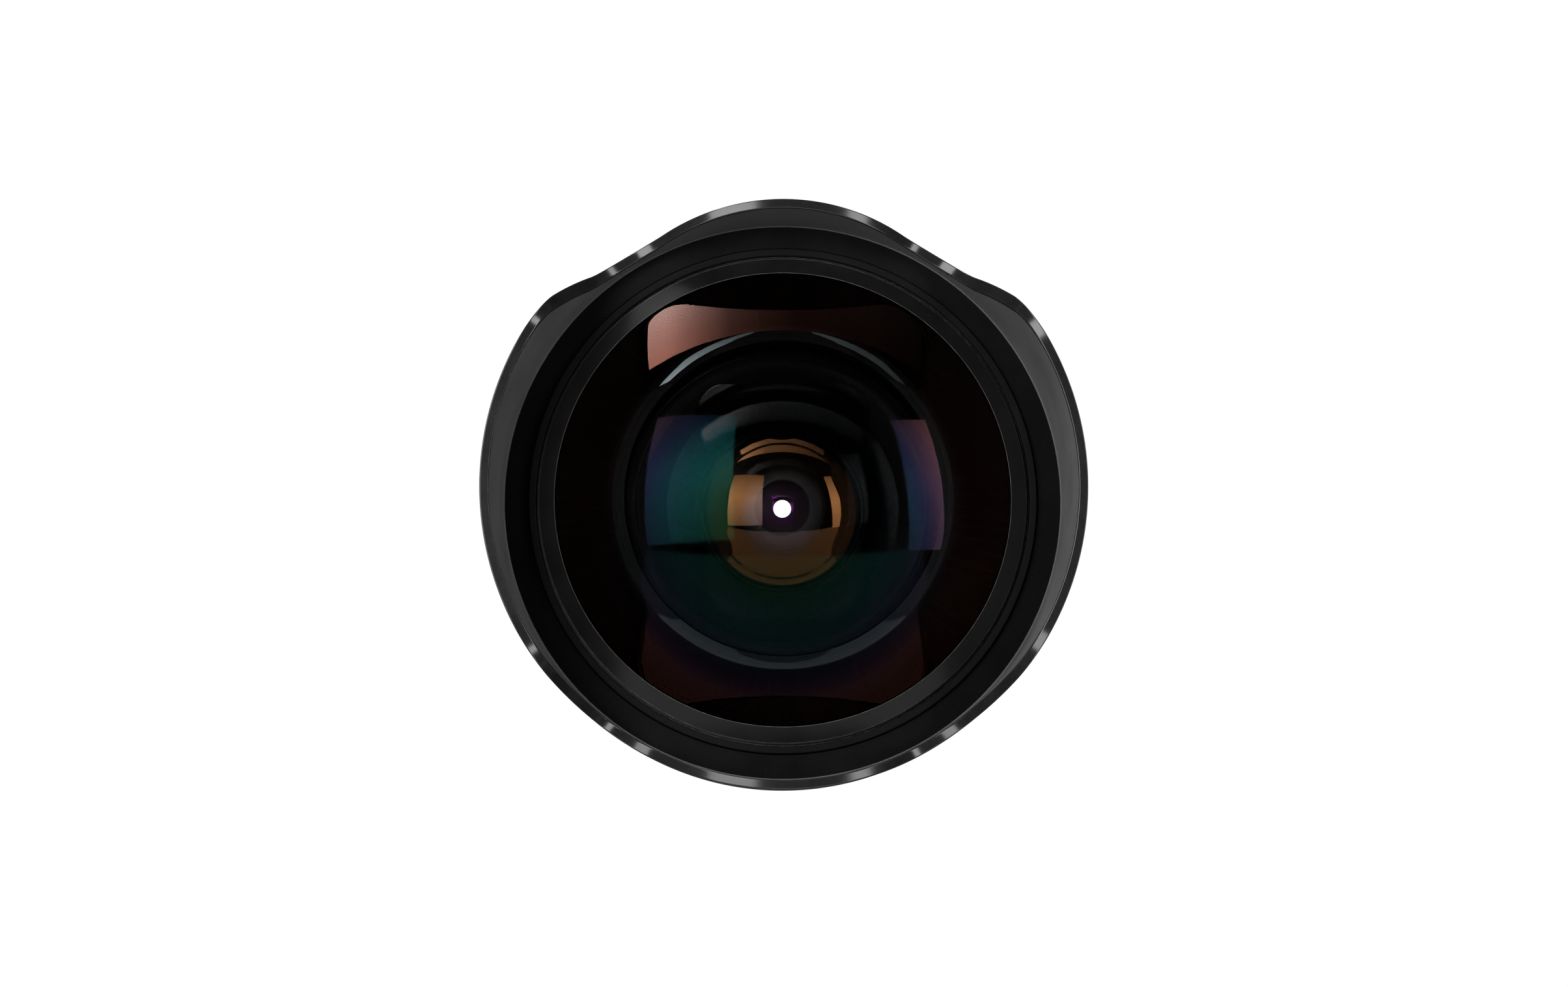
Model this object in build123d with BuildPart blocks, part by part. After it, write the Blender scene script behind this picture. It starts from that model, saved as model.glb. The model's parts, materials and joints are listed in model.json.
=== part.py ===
from build123d import *
from math import asin, copysign, cos, degrees, radians, sin, sqrt, tan
import os

os.makedirs("parts", exist_ok=True)

# The lens stands on its rear rim. The optical axis is +Z, towards the subject, and the long hood
# petals lie along X. Heights are above the rear rim, and radii are from the optical axis.

# Fits
running_clearance = 0.05
sliding_clearance = 0.1
seat_gap = 0.02
ring_gap = 0.3
overrun = 1.0

# Bayonet mount
flange_height = 5.5
flange_rim = 1.6
mount_thickness = 2.8
mount_chamfer = 0.6
throat_ledge = 3.2
spigot_wall = 1.8
tab_reach = 1.6
tab_bottom = 1.0
tab_thickness = 1.4
tab_count = 3
tab_span = 58
screw_count = 5
screw_radius = 0.9
screw_head_radius = 1.75
screw_head_depth = 0.9
screw_length = 4.6
lock_hole_radius = 1.4
lock_hole_depth = 1.7
lock_hole_angle = 36

# Rear light baffle
baffle_wall = 1.1
baffle_plate = 0.8
baffle_depth = 2.0
window_width = 26.0
window_height = 18.0
window_corner = 3.0

# Fixed barrel
web_reach = 3.0
web_thickness = 3.2
neck_wall = 2.5
neck_step = 2.0
step_thickness = 2.0
sleeve_wall = 1.85

# Aperture ring
aperture_ring_wall = 3.25
aperture_grip_rise = 0.7
aperture_ring_height = 13.1
aperture_rear_band = 4.6
aperture_grip_height = 6.8
aperture_edge = 0.8
aperture_rib_count = 60
aperture_rib_gap = 1.5
aperture_rib_depth = 0.55
aperture_throw = 48

# Scale ring, with the index bead on the side of one long petal
scale_wall = 2.1
scale_height = 11.6
scale_edge = 0.6
scale_collar_rise = 1.2
scale_collar_height = 2.6
bead_radius = 0.9
bead_height_share = 0.45

# Focus ring
focus_ring_wall = 0.65
focus_ring_height = 24.1
focus_edge = 0.5
focus_shoulder = 10.0
focus_mouth_step = 1.75
focus_mouth_depth = 4.0
focus_throw = 120
focus_travel = 1.5
stop_pin_radius = 0.7
stop_pin_offset = 1.2
stop_pin_seat = 2.0
stop_pin_reach = 1.4
grip_thickness = 1.0
grip_rib_height = 0.65
grip_rib_count = 72
grip_rib_share = 0.62
grip_bottom_margin = 5.6
grip_top_margin = 3.0
grip_end_band = 1.2
retainer_width = 1.0
retainer_height = 1.6

# Helicoid, keyed so that the optics block slides and does not turn
key_width = 4.0
key_depth = 1.6
key_height = 16.0
key_angle = 270
guide_length = 15.0
block_gap = 4.75
block_wall = 3.3
block_flange = 3.0
web_plate = 2.5

# Front barrel and petal hood
front_lip_height = 1.8
front_lip_rise = 0.7
front_lip_chamfer = 0.7
skirt_depth = 3.6
skirt_wall = 0.9
upright_wall = 1.25
upright_share = 0.5
hood_height = 27.4
hood_outer_flare_share = 0.03
hood_inner_flare_share = 0.036
hood_wall = 1.15
hood_cone_width = 3.27
hood_cone_wall = 1.5
hood_floor_depth = 18.2
hood_floor_rise = 1.1
hood_skirt_wall = 1.4
hood_skirt_clearance = 3.3
petal_flank_inset = 11.2
petal_flank_depth = 7.55
petal_flank_angle = 65.1
petal_hump_depth = 8.05
petal_hump_radius = 23.5
petal_dip_radius = 6.0
petal_corner_radius = 5.0

# Front element and what holds it
front_vertex_depth = 4.5
front_edge_thickness = 2.27
front_outer_curve = 45.0
front_inner_curve = 26.0
front_hollow_share = 0.792
glass_hidden_rim = 1.65
glass_clearance = 0.05
retaining_ring_width = 2.1
retaining_ring_edge = 0.2
retaining_ring_drop = 0.75
retaining_ring_lip = 0.7
joint_gap = 0.12
cell_width = 1.8
cell_overhang = 0.32
cell_rim_wall = 0.95
cell_wall = 1.6
cell_shelf = 2.0
cell_seat_height = 1.35

# Second element, a thin meniscus in its own cell
second_gap = 8.7
second_element_radius = 19.0
second_thickness = 1.56
second_outer_curve = 60.0
second_inner_curve = 21.0
second_hollow_share = 0.738
second_cell_wall = 1.9
second_ring_overlap = 0.4
second_ring_wall = 1.5
second_ring_height = 0.7
second_shelf = 1.9
second_foot_wall = 3.2

# Third element, nearly flat in front and hollow behind
third_clearance = 0.18
third_element_radius = 15.0
third_thickness = 3.04
third_outer_curve = 200.0
third_inner_curve = 20.0
third_rim = 7.15
third_ring_wall = 0.7
third_ring_height = 0.5
inner_cell_rim = 0.4
inner_cell_wall = 1.0
inner_cell_flange = 3.0
inner_cell_flange_height = 1.5

# Spacer ring whose lip shows as a bright ring through the front glass
spacer_lip_reach = 9.0
spacer_lip_thickness = 0.6
spacer_seat_width = 4.8
spacer_skirt_wall = 7.7

# Fourth element, thick and rounded on both sides
fourth_gap = 3.9
fourth_step = 7.0
fourth_edge_thickness = 5.65
fourth_outer_curve = 18.0
fourth_inner_curve = -60.0
fourth_rim = 0.5
fourth_seat = 0.6

# Iris diaphragm
opening_radius = 2.15
iris_base_gap = 0.3
iris_base_thickness = 0.8
iris_inset = 4.6
iris_wall = 1.8
blade_count = 6
blade_thickness = 0.12
blade_gap = 0.04
blade_inner_radius = 2.7
blade_pin_gap = 1.1
blade_span = 122
blade_heel_span = 8
blade_tab_width = 2.4
blade_closed_radius = 0.45
pivot_inset = 4.2
pivot_pin_radius = 0.4
drive_pin_angle = 26
cam_ring_thickness = 1.0
cam_ring_width = 3.0
cam_floor_gap = 0.3
lug_width = 3.6
fork_width = 5.4
fork_depth = 2.8
window_margin = 4

# Drive bar from the aperture ring to the iris
bar_gap = 0.75
bar_depth = 2.0
bar_width = 2.4
bar_arm_height = 2.0
bar_foot_depth = 1.5
bar_arm_rise = 4.4
bar_angle = 180

# Rear group, two cemented pairs
rear_cell_wall = 3.0
rear_cell_top = 1.5
rear_cell_stop_radius = 4.0
rear_cell_depth = 26.3
pair_a_radius = 7.0
pair_a_stop = 0.8
pair_a_gap = 0.2
pair_a_edge_thickness = 1.2
pair_a_rear_thickness = 1.8
pair_a_front_curve = 22.0
pair_a_joint_curve = -14.0
pair_a_rear_curve = -60.0
pair_b_radius = 9.0
pair_b_gap = 5.6
pair_b_edge_thickness = 1.5
pair_b_rear_thickness = 2.2
pair_b_front_curve = 28.0
pair_b_joint_curve = -18.0
pair_b_rear_curve = -80.0
pair_spacer_wall = 0.5
pair_spacer_plate = 1.0
rear_ring_wall = 1.0
rear_ring_height = 2.0
rear_mouth_step = 1.6
rear_mouth_depth = 1.6

# Click stop of the aperture ring
ball_radius = 1.25
ball_rise = 9.9
ball_angle = 60
click_count = 13
click_radius = 0.35
click_height = 2.0
leaf_thickness = 0.3
leaf_width = 3.0
leaf_length = 7.0

# Radii worked out from the axis outwards: cells, optics block, fixed barrel, rings
pair_a_stop_radius = pair_a_radius - pair_a_stop
rear_cell_radius = pair_b_radius + rear_cell_wall
rear_mouth_radius = pair_b_radius + rear_mouth_step
third_inner_radius = third_element_radius - third_rim
spacer_lip_radius = third_element_radius - spacer_lip_reach
spacer_skirt_radius = third_element_radius - spacer_skirt_wall
fourth_element_radius = third_element_radius - fourth_step
fourth_inner_radius = fourth_element_radius - fourth_rim
fourth_seat_radius = fourth_element_radius - fourth_seat
inner_cell_radius = third_element_radius + inner_cell_wall
inner_cell_flange_radius = inner_cell_radius + inner_cell_flange
iris_radius = inner_cell_radius - iris_inset
pivot_circle_radius = iris_radius - pivot_inset
blade_outer_radius = pivot_circle_radius - blade_pin_gap
cam_ring_inner_radius = pivot_circle_radius - cam_ring_width
second_inner_radius = second_inner_curve * second_hollow_share
second_cell_radius = second_element_radius + second_cell_wall
second_cell_foot_radius = inner_cell_radius + second_foot_wall
block_inner_radius = second_cell_radius + block_gap
bar_outer_radius = block_inner_radius - bar_gap
bar_inner_radius = bar_outer_radius - bar_depth
helicoid_radius = block_inner_radius + block_wall
sleeve_inner_radius = helicoid_radius + sliding_clearance
sleeve_radius = sleeve_inner_radius + sleeve_wall
neck_radius = sleeve_radius - neck_step
neck_inner_radius = neck_radius - neck_wall
web_inner_radius = neck_inner_radius - web_reach
throat_radius = web_inner_radius - throat_ledge
spigot_radius = throat_radius + spigot_wall
tab_radius = spigot_radius + tab_reach
mount_radius = neck_radius + flange_rim
screw_circle_radius = neck_inner_radius
aperture_bore = neck_radius + running_clearance
aperture_ring_radius = aperture_bore + aperture_ring_wall
aperture_grip_radius = aperture_ring_radius + aperture_grip_rise
scale_radius = sleeve_radius + scale_wall
scale_collar_radius = scale_radius + scale_collar_rise
focus_bore = sleeve_radius + running_clearance
focus_recess_radius = sleeve_radius + retainer_width + ring_gap
focus_mouth_radius = focus_recess_radius + focus_mouth_step
focus_ring_radius = focus_mouth_radius + focus_ring_wall
stop_pin_circle_radius = sleeve_radius + stop_pin_offset
skirt_radius = focus_mouth_radius - running_clearance
block_flange_radius = skirt_radius - skirt_wall - seat_gap

# Radii of the front, from the front cell outwards to the hood
cell_radius = block_flange_radius + cell_overhang
front_element_radius = cell_radius - cell_width
front_inner_radius = front_inner_curve * front_hollow_share
glass_view_radius = front_element_radius - glass_hidden_rim
retaining_ring_radius = glass_view_radius + retaining_ring_width
hood_bore = cell_radius + joint_gap
hood_floor_radius = hood_bore + hood_cone_width
hood_tip_radius = hood_floor_radius + hood_wall + hood_inner_flare_share * hood_floor_depth
hood_bottom_radius = hood_tip_radius - hood_outer_flare_share * hood_height
hood_socket_radius = hood_floor_radius - ring_gap
upright_radius = hood_socket_radius - seat_gap
front_lip_radius = upright_radius + front_lip_rise

# Heights worked out from the stack of rings
barrel_base = flange_height + mount_thickness
aperture_bottom = barrel_base + ring_gap
aperture_top = aperture_bottom + aperture_ring_height
scale_bottom = aperture_top + ring_gap
scale_top = scale_bottom + scale_height
focus_bottom = scale_top + ring_gap
focus_shoulder_height = focus_bottom + focus_shoulder
focus_top = focus_bottom + focus_ring_height
mouth_bottom = focus_top - focus_mouth_depth
sleeve_top = focus_shoulder_height + ring_gap + retainer_height
front_bottom = focus_top + ring_gap
hood_bottom = front_bottom + front_lip_height
hood_tip = hood_bottom + hood_height
hood_floor = hood_tip - hood_floor_depth
hood_floor_top = hood_floor + hood_floor_rise
upright_top = hood_bottom + upright_share * (hood_floor - hood_cone_wall - hood_bottom)


def sag(curve, radius):
    """Drop of a glass surface from its vertex to a radius. A positive curve bulges to the subject."""
    return copysign(abs(curve) - sqrt(curve**2 - radius**2), curve)


def surface(vertex, curve, radius):
    """Height of a glass surface at a radius."""
    return vertex - sag(curve, radius)


# Heights of the glass, from the front vertex down
front_vertex = hood_tip - front_vertex_depth
front_edge_top = surface(front_vertex, front_outer_curve, front_element_radius)
front_edge_bottom = front_edge_top - front_edge_thickness
front_rear_vertex = front_edge_bottom + sag(front_inner_curve, front_inner_radius)
second_vertex = front_rear_vertex - second_gap
second_rear_vertex = second_vertex - second_thickness
second_edge_bottom = surface(second_rear_vertex, second_inner_curve, second_inner_radius)
third_ring_top = second_edge_bottom - third_clearance
third_ring_bottom = third_ring_top - third_ring_height
third_ring_inner_radius = third_element_radius - third_ring_wall
third_vertex = third_ring_bottom - seat_gap + sag(third_outer_curve, third_ring_inner_radius)
third_edge_top = surface(third_vertex, third_outer_curve, third_element_radius)
third_rear_vertex = third_vertex - third_thickness
third_edge_bottom = surface(third_rear_vertex, third_inner_curve, third_inner_radius)
fourth_vertex = third_rear_vertex - fourth_gap
fourth_edge_top = surface(fourth_vertex, fourth_outer_curve, fourth_element_radius)
fourth_edge_bottom = fourth_edge_top - fourth_edge_thickness
fourth_rear_vertex = fourth_edge_bottom + sag(fourth_inner_curve, fourth_inner_radius)

# Heights of the iris stack
iris_base_top = fourth_rear_vertex - iris_base_gap
iris_base_bottom = iris_base_top - iris_base_thickness
blade_pitch = blade_thickness + blade_gap
cam_ring_top = iris_base_bottom - blade_gap - blade_count * blade_pitch
cam_ring_bottom = cam_ring_top - cam_ring_thickness
rear_cell_height = cam_ring_bottom - cam_floor_gap
web_bottom = iris_base_top + ring_gap

# Heights of the rear group
pair_a_vertex = rear_cell_height - rear_cell_top - pair_a_gap
pair_a_edge = surface(pair_a_vertex, pair_a_front_curve, pair_a_radius) - pair_a_edge_thickness
pair_a_joint = pair_a_edge + sag(pair_a_joint_curve, pair_a_radius)
pair_a_rear = pair_a_joint - pair_a_rear_thickness
pair_b_vertex = pair_a_rear - pair_b_gap
pair_b_edge = surface(pair_b_vertex, pair_b_front_curve, pair_b_radius) - pair_b_edge_thickness
pair_b_joint = pair_b_edge + sag(pair_b_joint_curve, pair_b_radius)
pair_b_rear = pair_b_joint - pair_b_rear_thickness


def glass(front, front_curve, rear, rear_curve, edge, rear_edge):
    """Half section of a glass element, with a flat rim behind where rear_edge is smaller."""
    edge_top = surface(front, front_curve, edge)
    edge_bottom = surface(rear, rear_curve, rear_edge)
    with BuildSketch(Plane.XZ) as section:
        with BuildLine():
            front_points = [(r, surface(front, front_curve, r)) for r in (0, edge / 2, edge)]
            ThreePointArc(*front_points)
            Line((edge, edge_top), (edge, edge_bottom))
            if rear_edge < edge:
                Line((edge, edge_bottom), (rear_edge, edge_bottom))
            rear_points = [(r, surface(rear, rear_curve, r)) for r in (rear_edge, rear_edge / 2, 0)]
            ThreePointArc(*rear_points)
            Line((0, rear), (0, front))
        make_face()
    return section.sketch


def radial_plane(radius, angle, height):
    """Plane that faces outwards from the optical axis at a radius, an angle and a height."""
    outward = (cos(radians(angle)), sin(radians(angle)), 0)
    sideways = (-sin(radians(angle)), cos(radians(angle)), 0)
    return Plane((radius * outward[0], radius * outward[1], height), x_dir=sideways, z_dir=outward)


# Bayonet ring: flange, spigot and three tabs behind it
with BuildPart() as mount_ring:
    with BuildSketch(Plane.XZ):
        Polygon(
            (throat_radius, 0),
            (spigot_radius, 0),
            (spigot_radius, flange_height),
            (mount_radius - mount_chamfer, flange_height),
            (mount_radius, flange_height + mount_chamfer),
            (mount_radius, barrel_base),
            (throat_radius, barrel_base),
        )
    revolve(axis=Axis.Z)
    for tab in range(tab_count):
        turn = tab * 360 / tab_count
        with BuildSketch(Plane.XZ.rotated((0, 0, turn))):
            Polygon(
                (spigot_radius - overrun, tab_bottom),
                (tab_radius, tab_bottom),
                (tab_radius, tab_bottom + tab_thickness),
                (spigot_radius - overrun, tab_bottom + tab_thickness),
            )
        revolve(axis=Axis.Z, revolution_arc=tab_span)
    with Locations(Plane.XY.offset(flange_height)):
        with PolarLocations(screw_circle_radius, screw_count):
            Cylinder(
                screw_radius + seat_gap,
                mount_thickness + overrun,
                align=(Align.CENTER, Align.CENTER, Align.MIN),
                mode=Mode.SUBTRACT,
            )
            Cone(
                screw_head_radius + seat_gap,
                screw_radius + seat_gap,
                screw_head_depth,
                align=(Align.CENTER, Align.CENTER, Align.MIN),
                mode=Mode.SUBTRACT,
            )
        with PolarLocations(screw_circle_radius, 1, lock_hole_angle):
            Cylinder(
                lock_hole_radius,
                lock_hole_depth,
                align=(Align.CENTER, Align.CENTER, Align.MIN),
                mode=Mode.SUBTRACT,
            )
mount_ring.part.label = "mount_ring"
export_step(mount_ring.part, "parts/mount_ring.step")

# Countersunk screws that hold the bayonet ring to the barrel
with BuildPart() as mount_screws:
    with Locations(Plane.XY.offset(flange_height)):
        with PolarLocations(screw_circle_radius, screw_count):
            Cylinder(screw_radius, screw_length, align=(Align.CENTER, Align.CENTER, Align.MIN))
            Cone(
                screw_head_radius,
                screw_radius,
                screw_head_depth,
                align=(Align.CENTER, Align.CENTER, Align.MIN),
            )
mount_screws.part.label = "mount_screws"
export_step(mount_screws.part, "parts/mount_screws.step")

# Rear light baffle: a cup in the throat with a rounded window
baffle_radius = throat_radius - seat_gap
baffle_flange_radius = web_inner_radius - seat_gap
baffle_bottom = barrel_base - baffle_depth
with BuildPart() as rear_baffle:
    with BuildSketch(Plane.XZ):
        Polygon(
            (0, baffle_bottom),
            (baffle_radius, baffle_bottom),
            (baffle_radius, barrel_base),
            (baffle_flange_radius, barrel_base),
            (baffle_flange_radius, barrel_base + baffle_plate),
            (baffle_radius - baffle_wall, barrel_base + baffle_plate),
            (baffle_radius - baffle_wall, baffle_bottom + baffle_plate),
            (0, baffle_bottom + baffle_plate),
        )
    revolve(axis=Axis.Z)
    with BuildSketch(Plane.XY.offset(baffle_bottom)):
        RectangleRounded(window_width, window_height, window_corner)
    extrude(amount=baffle_plate, mode=Mode.SUBTRACT)
rear_baffle.part.label = "rear_baffle"
export_step(rear_baffle.part, "parts/rear_baffle.step")

# Rear barrel: web for the mount screws, neck for the aperture ring, sleeve for the focus ring
web_top = barrel_base + web_thickness
arm_bottom = aperture_bottom + bar_arm_rise
arm_slot_bottom = arm_bottom - ring_gap
arm_slot_top = arm_bottom + bar_arm_height + ring_gap
bar_half_angle = degrees(asin(bar_width / 2 / bar_inner_radius))
slot_start = bar_angle - bar_half_angle - window_margin
slot_span = aperture_throw + 2 * (bar_half_angle + window_margin)
ball_centre_height = barrel_base + ball_rise
with BuildPart() as rear_barrel:
    with BuildSketch(Plane.XZ):
        Polygon(
            (web_inner_radius, barrel_base),
            (neck_radius, barrel_base),
            (neck_radius, scale_bottom),
            (sleeve_radius, scale_bottom),
            (sleeve_radius, sleeve_top),
            (sleeve_inner_radius, sleeve_top),
            (sleeve_inner_radius, scale_bottom + step_thickness),
            (neck_inner_radius, scale_bottom + step_thickness),
            (neck_inner_radius, web_top),
            (web_inner_radius, web_top),
        )
    revolve(axis=Axis.Z)
    with Locations(Plane.XY.offset(barrel_base)):
        with PolarLocations(screw_circle_radius, screw_count):
            Cylinder(
                screw_radius + seat_gap,
                screw_length - mount_thickness + seat_gap,
                align=(Align.CENTER, Align.CENTER, Align.MIN),
                mode=Mode.SUBTRACT,
            )
    with BuildSketch(Plane.XZ.rotated((0, 0, slot_start))):
        Polygon(
            (neck_inner_radius - overrun, arm_slot_bottom),
            (neck_radius + overrun, arm_slot_bottom),
            (neck_radius + overrun, arm_slot_top),
            (neck_inner_radius - overrun, arm_slot_top),
        )
    revolve(axis=Axis.Z, revolution_arc=slot_span, mode=Mode.SUBTRACT)
    with Locations(radial_plane(neck_radius, ball_angle, ball_centre_height)):
        Cylinder(ball_radius + sliding_clearance, 2 * (neck_radius - neck_inner_radius), mode=Mode.SUBTRACT)
rear_barrel.part.label = "rear_barrel"
export_step(rear_barrel.part, "parts/rear_barrel.step")

# Scale ring around the front of the neck, with a collar towards the focus ring
with BuildPart() as scale_ring:
    with BuildSketch(Plane.XZ):
        Polygon(
            (sleeve_radius + seat_gap, scale_bottom),
            (scale_radius - scale_edge, scale_bottom),
            (scale_radius, scale_bottom + scale_edge),
            (scale_radius, scale_top - scale_collar_height),
            (scale_collar_radius, scale_top),
            (sleeve_radius + seat_gap, scale_top),
        )
    revolve(axis=Axis.Z)
    with BuildSketch(Plane.XY.offset(scale_top - stop_pin_seat)):
        with PolarLocations(stop_pin_circle_radius, 1):
            Circle(stop_pin_radius + seat_gap)
    extrude(amount=stop_pin_seat, mode=Mode.SUBTRACT)
scale_ring.part.label = "scale_ring"
export_step(scale_ring.part, "parts/scale_ring.step")

# Index bead on the scale ring
bead_centre_height = scale_bottom + scale_height * bead_height_share
with BuildPart() as index_bead:
    with Locations(radial_plane(scale_radius, 0, bead_centre_height)):
        Sphere(bead_radius)
    with BuildSketch(Plane.XY.offset(scale_bottom)):
        Circle(scale_radius + seat_gap)
    extrude(amount=scale_height, mode=Mode.SUBTRACT)
index_bead.part.label = "index_bead"
export_step(index_bead.part, "parts/index_bead.step")

# Ring that keeps the focus ring on the sleeve
with BuildPart() as focus_retainer:
    with BuildSketch(Plane.XZ):
        Polygon(
            (sleeve_radius + seat_gap, sleeve_top - retainer_height),
            (focus_recess_radius - ring_gap, sleeve_top - retainer_height),
            (focus_recess_radius - ring_gap, sleeve_top),
            (sleeve_radius + seat_gap, sleeve_top),
        )
    revolve(axis=Axis.Z)
focus_retainer.part.label = "focus_retainer"
export_step(focus_retainer.part, "parts/focus_retainer.step")

# Key on the step of the rear barrel, which the optics block slides along
step_top = scale_bottom + step_thickness
key_inner_radius = helicoid_radius - key_depth
with BuildPart() as focus_key:
    with BuildSketch(Plane.XY.offset(step_top)):
        with PolarLocations(key_inner_radius + key_depth, 1, key_angle):
            Rectangle(2 * key_depth, key_width)
        Circle(sleeve_inner_radius - seat_gap, mode=Mode.INTERSECT)
    extrude(amount=key_height)
focus_key.part.label = "focus_key"
export_step(focus_key.part, "parts/focus_key.step")

# Stop pin that ends the throw of the focus ring
with BuildPart() as focus_stop_pin:
    with BuildSketch(Plane.XY.offset(scale_top - stop_pin_seat)):
        with PolarLocations(stop_pin_circle_radius, 1):
            Circle(stop_pin_radius)
    extrude(amount=stop_pin_seat + ring_gap + stop_pin_reach)
focus_stop_pin.part.label = "focus_stop_pin"
export_step(focus_stop_pin.part, "parts/focus_stop_pin.step")

# Click ball in the neck, flush with the bore of the aperture ring, and the leaf behind it
with BuildPart() as click_ball:
    with Locations(radial_plane(neck_radius - ball_radius, ball_angle, ball_centre_height)):
        Sphere(ball_radius)
click_ball.part.label = "click_ball"
export_step(click_ball.part, "parts/click_ball.step")

leaf_face = sqrt(neck_inner_radius**2 - (leaf_width / 2) ** 2) - seat_gap
with BuildPart() as click_leaf:
    with BuildSketch(radial_plane(leaf_face - leaf_thickness, ball_angle, ball_centre_height)):
        Rectangle(leaf_width, leaf_length)
    extrude(amount=leaf_thickness)
click_leaf.part.label = "click_leaf"
export_step(click_leaf.part, "parts/click_leaf.step")

# Aperture ring: rear band for the stop numbers, ribbed grip in front, pocket for the drive bar
aperture_grip_bottom = aperture_bottom + aperture_rear_band
with BuildPart() as aperture_ring:
    with BuildSketch(Plane.XZ):
        Polygon(
            (aperture_bore, aperture_bottom),
            (aperture_ring_radius - aperture_edge, aperture_bottom),
            (aperture_ring_radius, aperture_bottom + aperture_edge),
            (aperture_ring_radius, aperture_top),
            (aperture_bore, aperture_top),
        )
    revolve(axis=Axis.Z)
    with BuildSketch(Plane.XY.offset(aperture_grip_bottom)):
        Circle(aperture_grip_radius)
        Circle(aperture_ring_radius - aperture_edge, mode=Mode.SUBTRACT)
        with PolarLocations(aperture_grip_radius, aperture_rib_count):
            Rectangle(2 * aperture_rib_depth, aperture_rib_gap, mode=Mode.SUBTRACT)
    extrude(amount=aperture_grip_height)
    with BuildSketch(Plane.XY.offset(arm_bottom)):
        with PolarLocations(aperture_bore, 1, bar_angle):
            Rectangle(2 * bar_foot_depth, bar_width)
    extrude(amount=bar_arm_height, mode=Mode.SUBTRACT)
    with BuildSketch(Plane.XY.offset(ball_centre_height - click_height / 2)):
        first_click = ball_angle - aperture_throw
        with PolarLocations(aperture_bore, click_count, first_click, aperture_throw, endpoint=True):
            Circle(click_radius)
    extrude(amount=click_height, mode=Mode.SUBTRACT)
aperture_ring.part.label = "aperture_ring"
export_step(aperture_ring.part, "parts/aperture_ring.step")

# Drive bar: an arm through the slot in the neck, and a bar up to the iris
bar_top = cam_ring_top + focus_travel + ring_gap
with BuildPart() as iris_drive_bar:
    with BuildSketch(Plane.XY.offset(arm_bottom)):
        with PolarLocations((bar_inner_radius + aperture_bore + bar_foot_depth) / 2, 1, bar_angle):
            Rectangle(aperture_bore + bar_foot_depth - bar_inner_radius, bar_width)
    extrude(amount=bar_arm_height)
    with BuildSketch(Plane.XY.offset(arm_bottom)):
        with PolarLocations(bar_inner_radius + bar_depth / 2, 1, bar_angle):
            Rectangle(bar_depth, bar_width)
    extrude(amount=bar_top - arm_bottom)
iris_drive_bar.part.label = "iris_drive_bar"
export_step(iris_drive_bar.part, "parts/iris_drive_bar.step")

# Focus ring: bore on the sleeve, recess for the helicoid ring, mouth for the front barrel's skirt
stop_slot_half_width = stop_pin_radius + sliding_clearance
stop_slot_margin = degrees(asin(stop_slot_half_width / stop_pin_circle_radius))
stop_slot_depth = stop_pin_reach + ring_gap
with BuildPart() as focus_ring:
    with BuildSketch(Plane.XZ):
        Polygon(
            (focus_bore, focus_bottom),
            (focus_ring_radius - focus_edge, focus_bottom),
            (focus_ring_radius, focus_bottom + focus_edge),
            (focus_ring_radius, focus_top - focus_edge),
            (focus_ring_radius - focus_edge, focus_top),
            (focus_mouth_radius, focus_top),
            (focus_mouth_radius, mouth_bottom),
            (focus_recess_radius, mouth_bottom),
            (focus_recess_radius, focus_shoulder_height),
            (focus_bore, focus_shoulder_height),
        )
    revolve(axis=Axis.Z)
    with BuildSketch(Plane.XZ.rotated((0, 0, -focus_throw - stop_slot_margin))):
        Polygon(
            (stop_pin_circle_radius - stop_slot_half_width, focus_bottom),
            (stop_pin_circle_radius + stop_slot_half_width, focus_bottom),
            (stop_pin_circle_radius + stop_slot_half_width, focus_bottom + stop_slot_depth),
            (stop_pin_circle_radius - stop_slot_half_width, focus_bottom + stop_slot_depth),
        )
    revolve(axis=Axis.Z, revolution_arc=focus_throw + 2 * stop_slot_margin, mode=Mode.SUBTRACT)
focus_ring.part.label = "focus_ring"
export_step(focus_ring.part, "parts/focus_ring.step")

# Rubber grip with straight ribs between two plain end bands
grip_bottom = focus_bottom + grip_bottom_margin
grip_top = focus_top - grip_top_margin
grip_radius = focus_ring_radius + grip_thickness
grip_outer_radius = grip_radius + grip_rib_height
rib_width = grip_rib_share * 2 * grip_radius * tan(radians(180 / grip_rib_count))
with BuildPart() as focus_grip:
    with BuildSketch(Plane.XY.offset(grip_bottom)):
        Circle(grip_radius)
        Circle(focus_ring_radius + seat_gap, mode=Mode.SUBTRACT)
    extrude(amount=grip_top - grip_bottom)
    with BuildSketch(Plane.XY.offset(grip_bottom + grip_end_band)):
        with PolarLocations(grip_outer_radius - grip_rib_height, grip_rib_count):
            Rectangle(2 * grip_rib_height, rib_width)
    extrude(amount=grip_top - grip_bottom - 2 * grip_end_band)
focus_grip.part.label = "focus_grip"
export_step(focus_grip.part, "parts/focus_grip.step")

# Helicoid ring inside the focus ring, which lifts the optics block as it turns
with BuildPart() as helicoid_ring:
    with BuildSketch(Plane.XZ):
        Polygon(
            (helicoid_radius + running_clearance, sleeve_top + ring_gap),
            (focus_recess_radius - seat_gap, sleeve_top + ring_gap),
            (focus_recess_radius - seat_gap, mouth_bottom),
            (helicoid_radius + running_clearance, mouth_bottom),
        )
    revolve(axis=Axis.Z)
helicoid_ring.part.label = "helicoid_ring"
export_step(helicoid_ring.part, "parts/helicoid_ring.step")

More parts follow.
